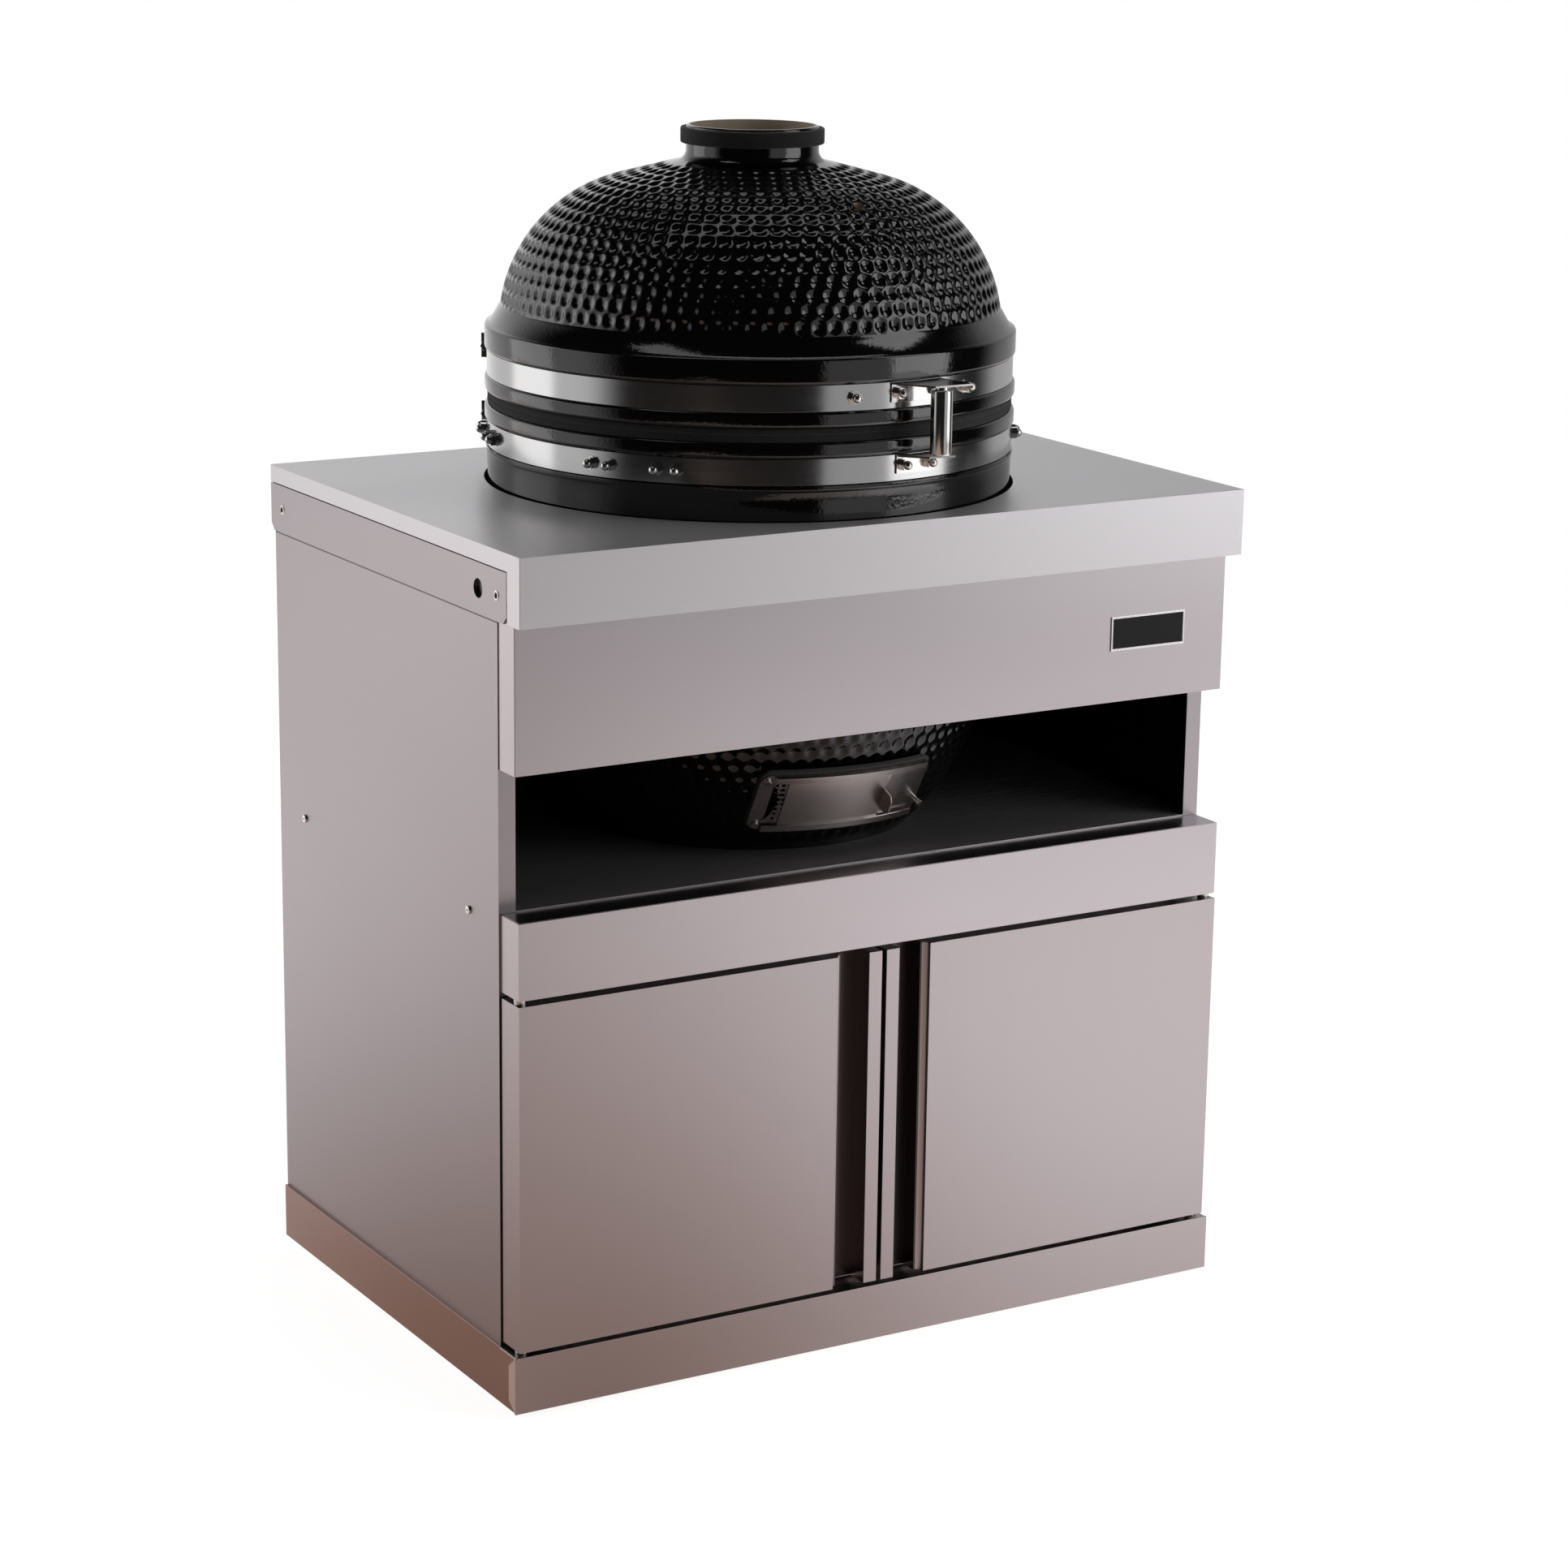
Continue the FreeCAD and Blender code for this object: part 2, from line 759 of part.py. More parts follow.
# Plinth: a front sheet that wraps the corners, side and back sheets, and screw-in feet.
def build_plinth():
    half = half_plinth
    plinth_front = front + size("plinth_setback")
    low = size("plinth_gap")
    high = size("plinth_height")
    flange = size("plinth_flange")
    chamfer = size("plinth_corner_chamfer")
    corner = size("plinth_corner_return")
    face = block((-half, half), (plinth_front, plinth_front + sheet), (low, high))
    ledge = block((-half + sheet, half - sheet), (plinth_front + sheet, plinth_front + flange),
                  (high - sheet, high))
    returns = []
    for side in SIDES.values():
        shape = [
            (plinth_front, low),
            (plinth_front + sheet, low),
            (plinth_front + corner, low + chamfer),
            (plinth_front + corner, high - chamfer),
            (plinth_front + sheet, high),
            (plinth_front, high),
        ]
        near, far = pair(side, half - sheet, half)
        returns.append(prism("YZ_Plane", shape, near, far))
    holes = [
        rod("z", (side * pin_line, pin_depth, high - sheet - 1), sheet + 2,
            size("pin_radius") + size("pin_play"))
        for side in SIDES.values()
    ]
    piece("plinth_front", carve(fuse(face, ledge, *returns), *holes))
    side_front = plinth_front + sheet
    side_back = carcass_back
    for name, side in SIDES.items():
        wall = block(pair(side, half - 2 * sheet, half - sheet), (side_front, side_back),
                     (low, high - sheet))
        shelf = block(pair(side, half - flange, half - sheet), (plinth_front + flange, side_back),
                      (high - sheet, high))
        piece(f"plinth_{name}", fuse(wall, shelf))
    between = half - 2 * sheet
    wall = block((-between, between), (side_back - sheet, side_back), (low, high - sheet))
    shelf_half = half - flange
    shelf = block((-shelf_half, shelf_half), (side_back - flange, side_back), (high - sheet, high))
    piece("plinth_back", fuse(wall, shelf))


def build_feet():
    half = half_plinth - size("foot_inset")
    place_front = front + size("plinth_setback") + size("foot_inset")
    place_back = carcass_back - size("foot_inset")
    stem = size("foot_stem_radius")
    plate_high = size("plinth_height") - sheet
    reach = size("foot_plate") / 2
    feet = []
    plates = []
    for side in SIDES.values():
        for depth in (place_front, place_back):
            middle = side * half
            pad = rod("z", (middle, depth, 0), size("foot_pad_height"), size("foot_radius"))
            shank = rod("z", (middle, depth, size("foot_pad_height")),
                        plate_high - size("foot_pad_height"), stem)
            feet.append(fuse(pad, shank))
            sheet_plate = block((middle - reach, middle + reach), (depth - reach, depth + reach),
                                (plate_high - 2 * sheet, plate_high))
            nut = hexagon("z", (middle, depth, plate_high - 2 * sheet - 8), 8, stem * 2)
            hole = rod("z", (middle, depth, plate_high - 40), 60, stem)
            plates.append(carve(fuse(sheet_plate, nut), hole))
    piece("levelling_feet", gather(*feet))
    piece("foot_plates", gather(*plates))


# Doors: double-skinned, with a full-height finger channel beside the strip at the free edge.
def build_doors():
    low = size("plinth_height") + size("door_bottom_gap")
    high = rail_low - size("door_top_gap")
    outer = half_cabinet - size("door_side_gap")
    free = size("door_middle_gap") / 2
    strip = free + size("strip_width")
    cheek = strip + size("channel_width")
    channel_floor = door_front + size("channel_depth")
    bend = size("channel_bend")
    radius = size("pin_radius")
    for name, side in SIDES.items():
        turn = side
        skin = [
            (free, door_front),
            (strip, door_front),
            (strip, channel_floor),
            (cheek, channel_floor),
            (cheek, door_front + bend, -turn * bend),
            (cheek + bend, door_front),
            (outer, door_front),
            (outer, door_back),
            (free, door_back),
        ]
        inside = [
            (free + sheet, door_front + sheet),
            (strip - sheet, door_front + sheet),
            (strip - sheet, channel_floor + sheet),
            (cheek + sheet, channel_floor + sheet),
            (cheek + sheet, door_front + bend, -turn * (bend - sheet)),
            (cheek + bend, door_front + sheet),
            (outer - sheet, door_front + sheet),
            (outer - sheet, door_back + 1),
            (free + sheet, door_back + 1),
        ]
        shell = prism("XY_Plane", mirrored_corners(side, skin), low, high)
        hollow = prism("XY_Plane", mirrored_corners(side, inside), low + sheet, high - sheet)
        bores = rod("z", (side * pin_line, pin_depth, low - 1), high - low + 2, radius)
        piece(f"door_{name}", carve(shell, hollow, bores))
        liner = block(pair(side, free, outer), (door_back, door_back + sheet), (low, high))
        piece(f"door_liner_{name}", liner)
        reach = size("pin_reach")
        washer = size("washer_radius")
        upper = fuse(
            rod("z", (side * pin_line, pin_depth, high - reach),
                reach + size("door_top_gap") + reach, radius),
            rod("z", (side * pin_line, pin_depth, high), size("door_top_gap") - running_gap, washer),
        )
        lower = fuse(
            rod("z", (side * pin_line, pin_depth, low - size("door_bottom_gap") - reach),
                reach + size("door_bottom_gap") + reach, radius),
            rod("z", (side * pin_line, pin_depth, low - size("door_bottom_gap") + running_gap),
                size("door_bottom_gap") - running_gap, washer),
        )
        piece(f"door_pins_{name}", gather(upper, lower))


# Kamado: every piece is drawn with x to its front, y to its right and z up from the niche
# floor, and then set on the niche floor with its front turned to the cabinet's front.
def stand(item, turn=0):
    quarter = turn - as_size(90)
    item.Placement = Placement(Vector(), Rotation(Vector(0, 0, 1), quarter.number))
    bind(item, "Placement.Base.y", kamado_back)
    bind(item, "Placement.Base.z", niche_floor)
    bind(item, "Placement.Rotation.Angle", quarter)
    return item


lid_turn = size("lid_turn")
belly = size("belly_radius")
belly_height = size("belly_height")
curve = size("bowl_curve")
wall = size("ceramic_wall")
seat = belly - size("band_seat_depth")
rim = belly + size("ring_stand")
# The worktop's top lies this high over the niche floor, and the bowl's rim stands out over it.
rim_height = size("niche_drop") + size("rim_rise")
band_low = rim_height - size("band_drop")
band_height = size("band_height")
band_outer = seat + size("band_thickness")
felt = size("felt_thickness")
lid_low = rim_height + 2 * felt
lid_band_low = lid_low + size("lid_band_rise")
shoulder_low = lid_band_low + band_height
ring_round = size("ring_round")


def bowl_outer(height):
    """The bowl's outside radius at a height below its belly."""
    return belly - curve + across(curve, belly_height - height)


def bowl_inner(height):
    return belly - curve + across(curve - wall, belly_height - height)


def build_bowl():
    floor = size("bowl_floor")
    inner_rim = belly - wall
    shell = spun([
        (0, 0),
        (bowl_outer(as_size(0)), 0, curve),
        (belly, belly_height),
        (belly, band_low - 2 * ring_round),
        (rim - 1, band_low - ring_round),
        (rim - 1, band_low - 1),
        (seat, band_low),
        (seat, band_low + band_height),
        (rim - 1.5, band_low + band_height + 1),
        (rim, band_low + band_height + ring_round),
        (rim, rim_height - ring_round),
        (rim - ring_round, rim_height),
        (inner_rim + ring_round, rim_height),
        (inner_rim, rim_height - ring_round),
        (inner_rim, belly_height),
        (bowl_inner(belly_height * 0.7), belly_height * 0.7),
        (bowl_inner(belly_height * 0.4), belly_height * 0.4),
        (bowl_inner(floor), floor),
        (0, floor),
    ])
    middle = size("draft_height")
    half_height = size("draft_window_top") - 4
    half_width = size("draft_window_left") - 12
    window = block((bowl_inner(middle) - 3 * wall, belly + wall), (-half_width, half_width),
                   (middle - half_height, middle + half_height))
    piece("bowl", stand(carve(shell, turned(window, -size("draft_turn")))))


def build_fire_box():
    floor = size("bowl_floor")
    ring_top = rim_height - size("grate_drop")
    box_top = ring_top - size("fire_ring_height")
    foot = bowl_inner(floor) - size("fire_box_foot_gap")
    reach = belly - wall - size("fire_box_top_gap")
    thick = size("fire_box_wall")
    ledge = size("grate_ledge_height")
    at_ledge = foot + (reach - foot) * (ledge - floor) / (box_top - floor)
    step = at_ledge - size("grate_ledge_wall")
    grate_radius = step - 4
    shell = spun([
        (0, floor),
        (foot, floor),
        (reach, box_top),
        (reach - thick, box_top),
        (step, ledge),
        (step - size("grate_ledge"), ledge),
        (foot - thick, floor + thick),
        (0, floor + thick),
    ])
    middle = size("draft_height")
    half_height = size("draft_window_top")
    half_window = size("fire_box_window") / 2
    window = block((foot - 3 * thick, reach + thick), (-half_window, half_window),
                   (middle - half_height + 14, middle + half_height))
    vents = [turned(rod("z", (80, 0, floor - 1), thick + 2, 12), 60 * step_number)
             for step_number in range(6)]
    piece("fire_box", stand(carve(shell, turned(window, -size("draft_turn")), *vents)))
    grate = rod("z", (0, 0, ledge), size("charcoal_grate_thickness"), grate_radius)
    slots = []
    half_slot = grate_radius / 24
    for row in range(-5, 6):
        place = row * half_slot * 4
        long = across(grate_radius - 16, place)
        slots.append(block((-long, -6), (place - half_slot, place + half_slot), (ledge - 1, ledge + 20)))
        slots.append(block((6, long), (place - half_slot, place + half_slot), (ledge - 1, ledge + 20)))
    piece("charcoal_grate", stand(carve(grate, *slots)))
    outer_top = belly - wall - size("fire_ring_gap")
    piece("fire_ring", stand(spun([
        (reach - thick, box_top),
        (reach, box_top),
        (outer_top, ring_top),
        (outer_top - size("fire_ring_top_width"), ring_top),
    ])))
    grill = outer_top - size("cooking_grate_inset")
    hoop = box_ring(grill - 6, grill, ring_top, ring_top + size("cooking_grate_height"))
    bars = []
    pitch = size("cooking_bar_pitch")
    bar = size("cooking_bar_radius")
    count = int((grill.number - 16) / pitch.number)
    for row in range(-count, count + 1):
        place = row * pitch
        long = across(grill - 3, place)
        bars.append(hexagon("x", (-long, place, ring_top + size("cooking_grate_height") / 2), 2 * long, bar))
    piece("cooking_grate", stand(fuse(hoop, *bars)))


def build_lid():
    foot = rim - size("dome_foot_inset")
    dome = size("dome_curve")
    skirt_low = shoulder_low + size("shoulder_height")
    foot_height = skirt_low + size("skirt_height")
    centre_height = foot_height - size("dome_centre_drop")
    centre = foot - across(dome, size("dome_centre_drop"))
    slope = size("crown_slope")
    crown = centre + dome * sine(slope)
    crown_height = centre_height + dome * cosine(slope)
    fall = sine(slope) / cosine(slope)
    neck = size("neck_radius")
    flare = size("neck_flare")
    flare_start = neck + flare
    flare_low = crown_height + (crown - flare_start) * fall
    chimney = flare_low + flare + size("neck_length")
    bore = neck - size("neck_wall")
    inner_dome = dome - wall
    inner_crown = centre + inner_dome * sine(slope)
    inner_crown_height = centre_height + inner_dome * cosine(slope)
    inner_foot = belly - wall
    shell = spun([
        (inner_foot, lid_low),
        (rim - ring_round, lid_low),
        (rim, lid_low + ring_round),
        (rim, lid_band_low - ring_round),
        (rim - 1.5, lid_band_low - 1),
        (seat, lid_band_low),
        (seat, shoulder_low),
        (rim - 1.5, shoulder_low + 1),
        (rim, shoulder_low + ring_round),
        (rim, skirt_low - ring_round),
        (rim - 3, skirt_low),
        (foot, foot_height, dome),
        (crown, crown_height),
        (flare_start, flare_low, -flare),
        (neck, flare_low + flare),
        (neck, chimney - 2),
        (neck - 2, chimney),
        (bore, chimney),
        (bore, inner_crown_height + (inner_crown - bore) * fall),
        (inner_crown, inner_crown_height, -inner_dome),
        (centre + inner_dome, centre_height),
        (inner_foot, lid_band_low),
    ])
    tilt = size("gauge_slope")
    reach = centre + dome * sine(tilt)
    height = centre_height + dome * cosine(tilt)
    hole = doc.addObject("Part::Cylinder", "GaugeHole")
    bind(hole, "Radius", size("gauge_hole_radius"))
    bind(hole, "Height", wall + 20)
    hole.Placement = Placement(Vector(), Rotation(Vector(0, 1, 0), tilt.number))
    bind(hole, "Placement.Rotation.Angle", tilt)
    bind(hole, "Placement.Base.x", reach - (wall + 8) * sine(tilt))
    bind(hole, "Placement.Base.z", height - (wall + 8) * cosine(tilt))
    piece("lid", stand(carve(shell, hole), lid_turn))
    collar_top = chimney - size("collar_drop")
    collar_low = collar_top - size("collar_height")
    thick = size("collar_thickness")
    piece("chimney_gasket", stand(spun([
        (neck, collar_low),
        (neck + thick - 2, collar_low),
        (neck + thick, collar_low + 2),
        (neck + thick, collar_top - 2),
        (neck + thick - 2, collar_top),
        (neck, collar_top),
    ]), lid_turn))


def build_felts():
    inner = belly - wall + ring_round
    outer = rim - ring_round + 1
    half_gap = running_gap / 2
    piece("base_gasket", stand(box_ring(inner, outer, rim_height, rim_height + felt - half_gap)))
    piece("lid_gasket", stand(box_ring(inner, outer, lid_low - felt + half_gap, lid_low), lid_turn))


def acorn_nut(face, level):
    """A domed nut, standing out along x from a face."""
    radius = size("nut_radius")
    return fuse(
        hexagon("x", (face, 0, level), size("nut_height"), radius),
        taper("x", (face + size("nut_height"), 0, level), size("nut_cap_height"), radius * 0.8,
              radius * 0.35),
    )


def clamp_lug(low, high, middle):
    """The end of a band, turned out so that a bolt can draw it to its neighbour."""
    half = size("lug_thickness") / 2
    lug = block((seat + 1, band_outer + size("lug_reach")), (-half, half), (low, high))
    place = band_outer + size("lug_reach") * size("lug_bolt_place")
    hole = rod("y", (place, -half - 1, middle), 2 * half + 2, size("clamp_bolt_radius") + 1)
    return carve(lug, hole)


def build_bands():
    clamp = size("clamp_angle")
    # Half of the gap between two lugs, as an angle at the band's radius.
    shift = (size("lug_gap") + size("lug_thickness")) / 2 / band_outer * 57.2958
    bolt = size("clamp_bolt_radius")
    for name, low, height in (("base", band_low, band_height), ("lid", lid_band_low, band_height)):
        gap = as_size(0.2)
        ring = box_ring(seat, band_outer, low + gap, low + height - gap, 2 * (clamp - shift))
        middle = low + height / 2
        lug = clamp_lug(low + gap, low + height - gap, middle)
        lugs = [turned(lug, side * (clamp - shift)) for side in SIDES.values()]
        piece(f"{name}_band", stand(fuse(ring, *lugs), lid_turn))
        place = band_outer + size("lug_reach") * size("lug_bolt_place")
        nut = size("nut_radius") * 0.8
        # The lugs stand off each other more and more towards their ends.
        spread = (size("lug_gap") + size("lug_thickness")) / 2 * (place + nut) / band_outer
        half = spread + size("lug_thickness") / 2
        stud = rod("y", (place, -half, middle), 2 * half, bolt)
        caps = [
            hexagon("y", (place, half, middle), size("nut_height"), nut),
            hexagon("y", (place, -half - size("nut_height"), middle), size("nut_height"), nut),
        ]
        clamp_bolt = fuse(stud, *caps)
        bolts = [turned(clamp_bolt, side * clamp) for side in SIDES.values()]
        piece(f"{name}_clamp_bolts", stand(gather(*bolts), lid_turn))


def build_nuts():
    level = band_low + band_height / 2
    nut = acorn_nut(band_outer, level)
    angles = []
    for side in SIDES.values():
        for group in (-1, 1):
            for spread in (-1, 1):
                for spot in (-1, 1):
                    angles.append(side * (90 + group * size("shelf_bolt_angle")
                                          + spread * size("shelf_bolt_spread")
                                          + spot * size("shelf_bolt_pair")))
    bracket_face = band_outer + size("bracket_sheet")
    stop_level = band_low + band_height - size("stop_leg_height") / 2 - 1
    stop_nut = acorn_nut(bracket_face, stop_level)
    stop_angle = size("stop_half_angle") * 0.65
    nuts = [turned(nut, angle) for angle in angles]
    nuts += [turned(stop_nut, side * stop_angle) for side in SIDES.values()]
    piece("base_band_nuts", stand(gather(*nuts), lid_turn))
    lid_nut = acorn_nut(band_outer, lid_band_low + band_height / 2)
    lift_level = lid_band_low + band_height - size("lift_leg_height") / 2
    lift_nut = acorn_nut(bracket_face, lift_level - 1)
    lift_angle = size("lift_half_angle") * 0.72
    nuts = [turned(lid_nut, side * size("handle_bolt_angle")) for side in SIDES.values()]
    nuts += [turned(lift_nut, side * lift_angle) for side in SIDES.values()]
    piece("lid_band_nuts", stand(gather(*nuts), lid_turn))


# Front brackets: an angle on each band. The round grip hangs from the upper one, and its
# lower end stops just over the other.
def angle_bracket(leg_low, leg_high, half_angle, depth, cut):
    thick = size("bracket_sheet")
    leg = box_ring(band_outer, band_outer + thick, leg_low, leg_high, 2 * half_angle)
    half = (band_outer + thick) * sine(half_angle)
    start = band_outer + 0.5
    flange = prism("XY_Plane", [
        (start, -half),
        (band_outer + depth - 6, -half + cut),
        (band_outer + depth, half),
        (start, half),
    ], leg_high - thick, leg_high)
    return fuse(leg, flange)


def build_latch():
    lift_high = lid_band_low + band_height - 0.5
    stop_high = band_low + band_height - 0.5
    thick = size("bracket_sheet")
    lift = angle_bracket(lift_high - size("lift_leg_height"), lift_high, size("lift_half_angle"),
                         size("lift_flange_depth"), size("lift_flange_cut"))
    stop = angle_bracket(stop_high - size("stop_leg_height"), stop_high, size("stop_half_angle"),
                         size("stop_flange_depth"), size("stop_flange_cut"))
    piece("lift_bracket", stand(lift, lid_turn))
    piece("stop_bracket", stand(stop, lid_turn))
    radius = size("grip_radius")
    chamfer = size("grip_chamfer")
    low = stop_high + size("grip_rest_gap")
    high = lift_high - thick - size("grip_neck_height")
    place = (band_outer + size("grip_reach"), size("grip_side"))
    grip = fuse(
        taper("z", (*place, low), chamfer, radius - chamfer, radius),
        rod("z", (*place, low + chamfer), high - low - 2 * chamfer, radius),
        taper("z", (*place, high - chamfer), chamfer, radius, radius - chamfer),
        rod("z", (*place, high), size("grip_neck_height"), size("grip_neck_radius")),
    )
    piece("lift_grip", stand(grip, lid_turn))


# Hinge: ears on a rear plate of each band, one pin through them all, and two torsion springs.
pin_out = band_outer + size("hinge_reach")
pin_height = rim_height + size("hinge_rise")


def build_hinge():
    clamp = size("clamp_angle")
    shift = (size("lug_gap") + size("lug_thickness")) / 2 / band_outer * 57.2958
    rear_angle = 2 * (180 - clamp - shift)
    gap = as_size(0.2)
    thick = size("hinge_ear")
    boss = size("ear_boss")
    pin = size("hinge_pin_radius")
    ear_in = size("base_ear_place")
    lid_ear_out = ear_in - size("ear_gap")
    lid_ear_in = lid_ear_out - thick
    base_start = across(band_outer, ear_in) - 1
    lid_start = across(band_outer, lid_ear_in) - 1
    base_clear = across(rim, ear_in) + 1.5
    lid_clear = across(rim, lid_ear_in) + 1.5
    base_high = band_low + band_height - gap
    lid_bottom = lid_band_low + gap
    base_ear = [
        (-base_start, band_low + gap),
        (-base_start, base_high - 0.5),
        (-base_clear, base_high),
        (-pin_out + boss * 0.9, pin_height + boss * 0.4),
        (-pin_out - boss * 0.7, pin_height - boss * 0.7),
        (-base_start - 24, band_low + gap),
    ]
    lid_high = shoulder_low - 0.5
    lid_ear = [
        (-lid_start, lid_bottom + 0.5),
        (-lid_start, lid_high),
        (-lid_start - 14, lid_high),
        (-pin_out - boss * 0.9, pin_height + boss * 0.4),
        (-pin_out + boss * 0.7, pin_height - boss * 0.7),
        (-lid_clear, lid_bottom),
    ]

    def bracket(low, high, shape, inner, hole):
        plate = turned(box_ring(seat, band_outer, low, high, rear_angle), 180)
        lug = clamp_lug(low, high, (low + high) / 2)
        lugs = [turned(lug, side * (clamp + shift)) for side in SIDES.values()]
        ears = []
        for side in SIDES.values():
            near, far = pair(side, inner, inner + thick)
            ears.append(prism("XZ_Plane", shape, near, far))
            ears.append(rod("y", (-pin_out, near, pin_height), thick, boss))
        margin = thick * 5
        bore = rod("y", (-pin_out, -inner - margin, pin_height), 2 * (inner + margin), hole)
        return carve(fuse(plate, *lugs, *ears), bore)

    base = bracket(band_low + gap, base_high, base_ear, ear_in, pin)
    lid_side = bracket(lid_bottom, shoulder_low - gap, lid_ear, lid_ear_in, pin + size("pin_play"))
    piece("hinge_base_bracket", stand(base, lid_turn))
    piece("hinge_lid_bracket", stand(lid_side, lid_turn))
    reach = ear_in + thick
    head = size("hinge_pin_head_length")
    shaft = fuse(
        rod("y", (-pin_out, -reach, pin_height), 2 * reach, pin),
        rod("y", (-pin_out, reach, pin_height), head, pin + size("hinge_pin_head")),
        rod("y", (-pin_out, -reach - head, pin_height), head, pin + size("hinge_pin_head")),
    )
    piece("hinge_pin", stand(shaft, lid_turn))


def bent_wire(spots, ways):
    """Edges through the spots with these directions, as two arcs between each two spots."""
    edges = []
    for start, start_way, end, end_way in zip(spots, ways, spots[1:], ways[1:]):
        gap = end - start
        both = start_way + end_way
        turn = 2 * (1 - start_way.dot(end_way))
        along = gap.dot(both)
        if turn < 1e-9:
            edges.append(Part.LineSegment(start, end).toShape())
            continue
        reach = (math.sqrt(along ** 2 + turn * gap.dot(gap)) - along) / turn
        meet = (start + end + (start_way - end_way) * reach) * 0.5
        for near, far, apex in ((start, meet, start + start_way * reach),
                                (meet, end, end - end_way * reach)):
            middle = (near + far) * 0.5
            rise = (apex - middle).Length
            tangent = rise / ((far - near).Length / 2)
            bulge = math.tan(math.atan(tangent) / 2) / tangent
            edges.append(Part.Arc(near, middle + (apex - middle) * bulge, far).toShape())
    return edges


def build_springs():
    wire = size("spring_wire_radius").number
    coil = size("spring_coil_radius").number
    inner_end = size("spring_inner_end").number
    outer_end = size("spring_outer_end").number
    turns = int(size("spring_turns").number)
    centre = Vector(-pin_out.number, 0, pin_height.number)
    touch = wire + running_gap.number
    base_touch = Vector(-across(band_outer, size("spring_inner_end")).number - touch, inner_end,
                        (band_low + band_height * 0.7).number)
    lid_touch = Vector(-across(band_outer, size("spring_outer_end")).number - touch, outer_end,
                       (lid_band_low + band_height * 0.45).number)

    def tangent_angle(target, sign):
        """The coil angle at which a straight leg to the target leaves the coil."""
        away = target - centre
        distance = math.hypot(away.x, away.z)
        return math.atan2(away.z, away.x) - sign * math.acos(coil / distance)

    first = tangent_angle(base_touch, -1)
    last = tangent_angle(lid_touch, 1)
    total = turns * 2 * math.pi - (first - last)
    steps = 2 * turns
    pitch = (outer_end - inner_end) / total
    spots = []
    ways = []
    for step in range(steps + 1):
        angle = first + total * step / steps
        spots.append(centre + Vector(coil * math.cos(angle), inner_end + pitch * (angle - first),
                                     coil * math.sin(angle)))
        ways.append(Vector(-coil * math.sin(angle), pitch, coil * math.cos(angle)).normalize())
    ways[0] = (spots[0] - base_touch).normalize()
    ways[-1] = (lid_touch - spots[-1]).normalize()
    legs = [Part.LineSegment(base_touch, spots[0]).toShape()]
    legs_end = [Part.LineSegment(spots[-1], lid_touch).toShape()]
    path = Part.Wire(legs + bent_wire(spots, ways) + legs_end)
    section = Part.Wire(Part.Circle(base_touch, ways[0], wire).toShape())
    tube = path.makePipeShell([section], True, False)
    # The nearest that two neighbouring turns come to each other.
    half_turn = [edge.valueAt(edge.FirstParameter) for edge in path.Edges]
    least = min(
        (one - other).Length
        for number, one in enumerate(half_turn)
        for other in half_turn[number + 4:]
        if abs(one.y - other.y) > 0.01
    )
    print(f"hinge spring: turns {total / 2 / math.pi:.2f}, least gap {least - 2 * wire:.2f} mm")
    for name, shape in (("right", tube), ("left", tube.mirror(Vector(), Vector(0, 1, 0)))):
        item = doc.addObject("Part::Feature", f"Spring{name}")
        item.Shape = shape
        holder = gather(item)
        piece(f"hinge_spring_{name}", stand(holder, lid_turn))


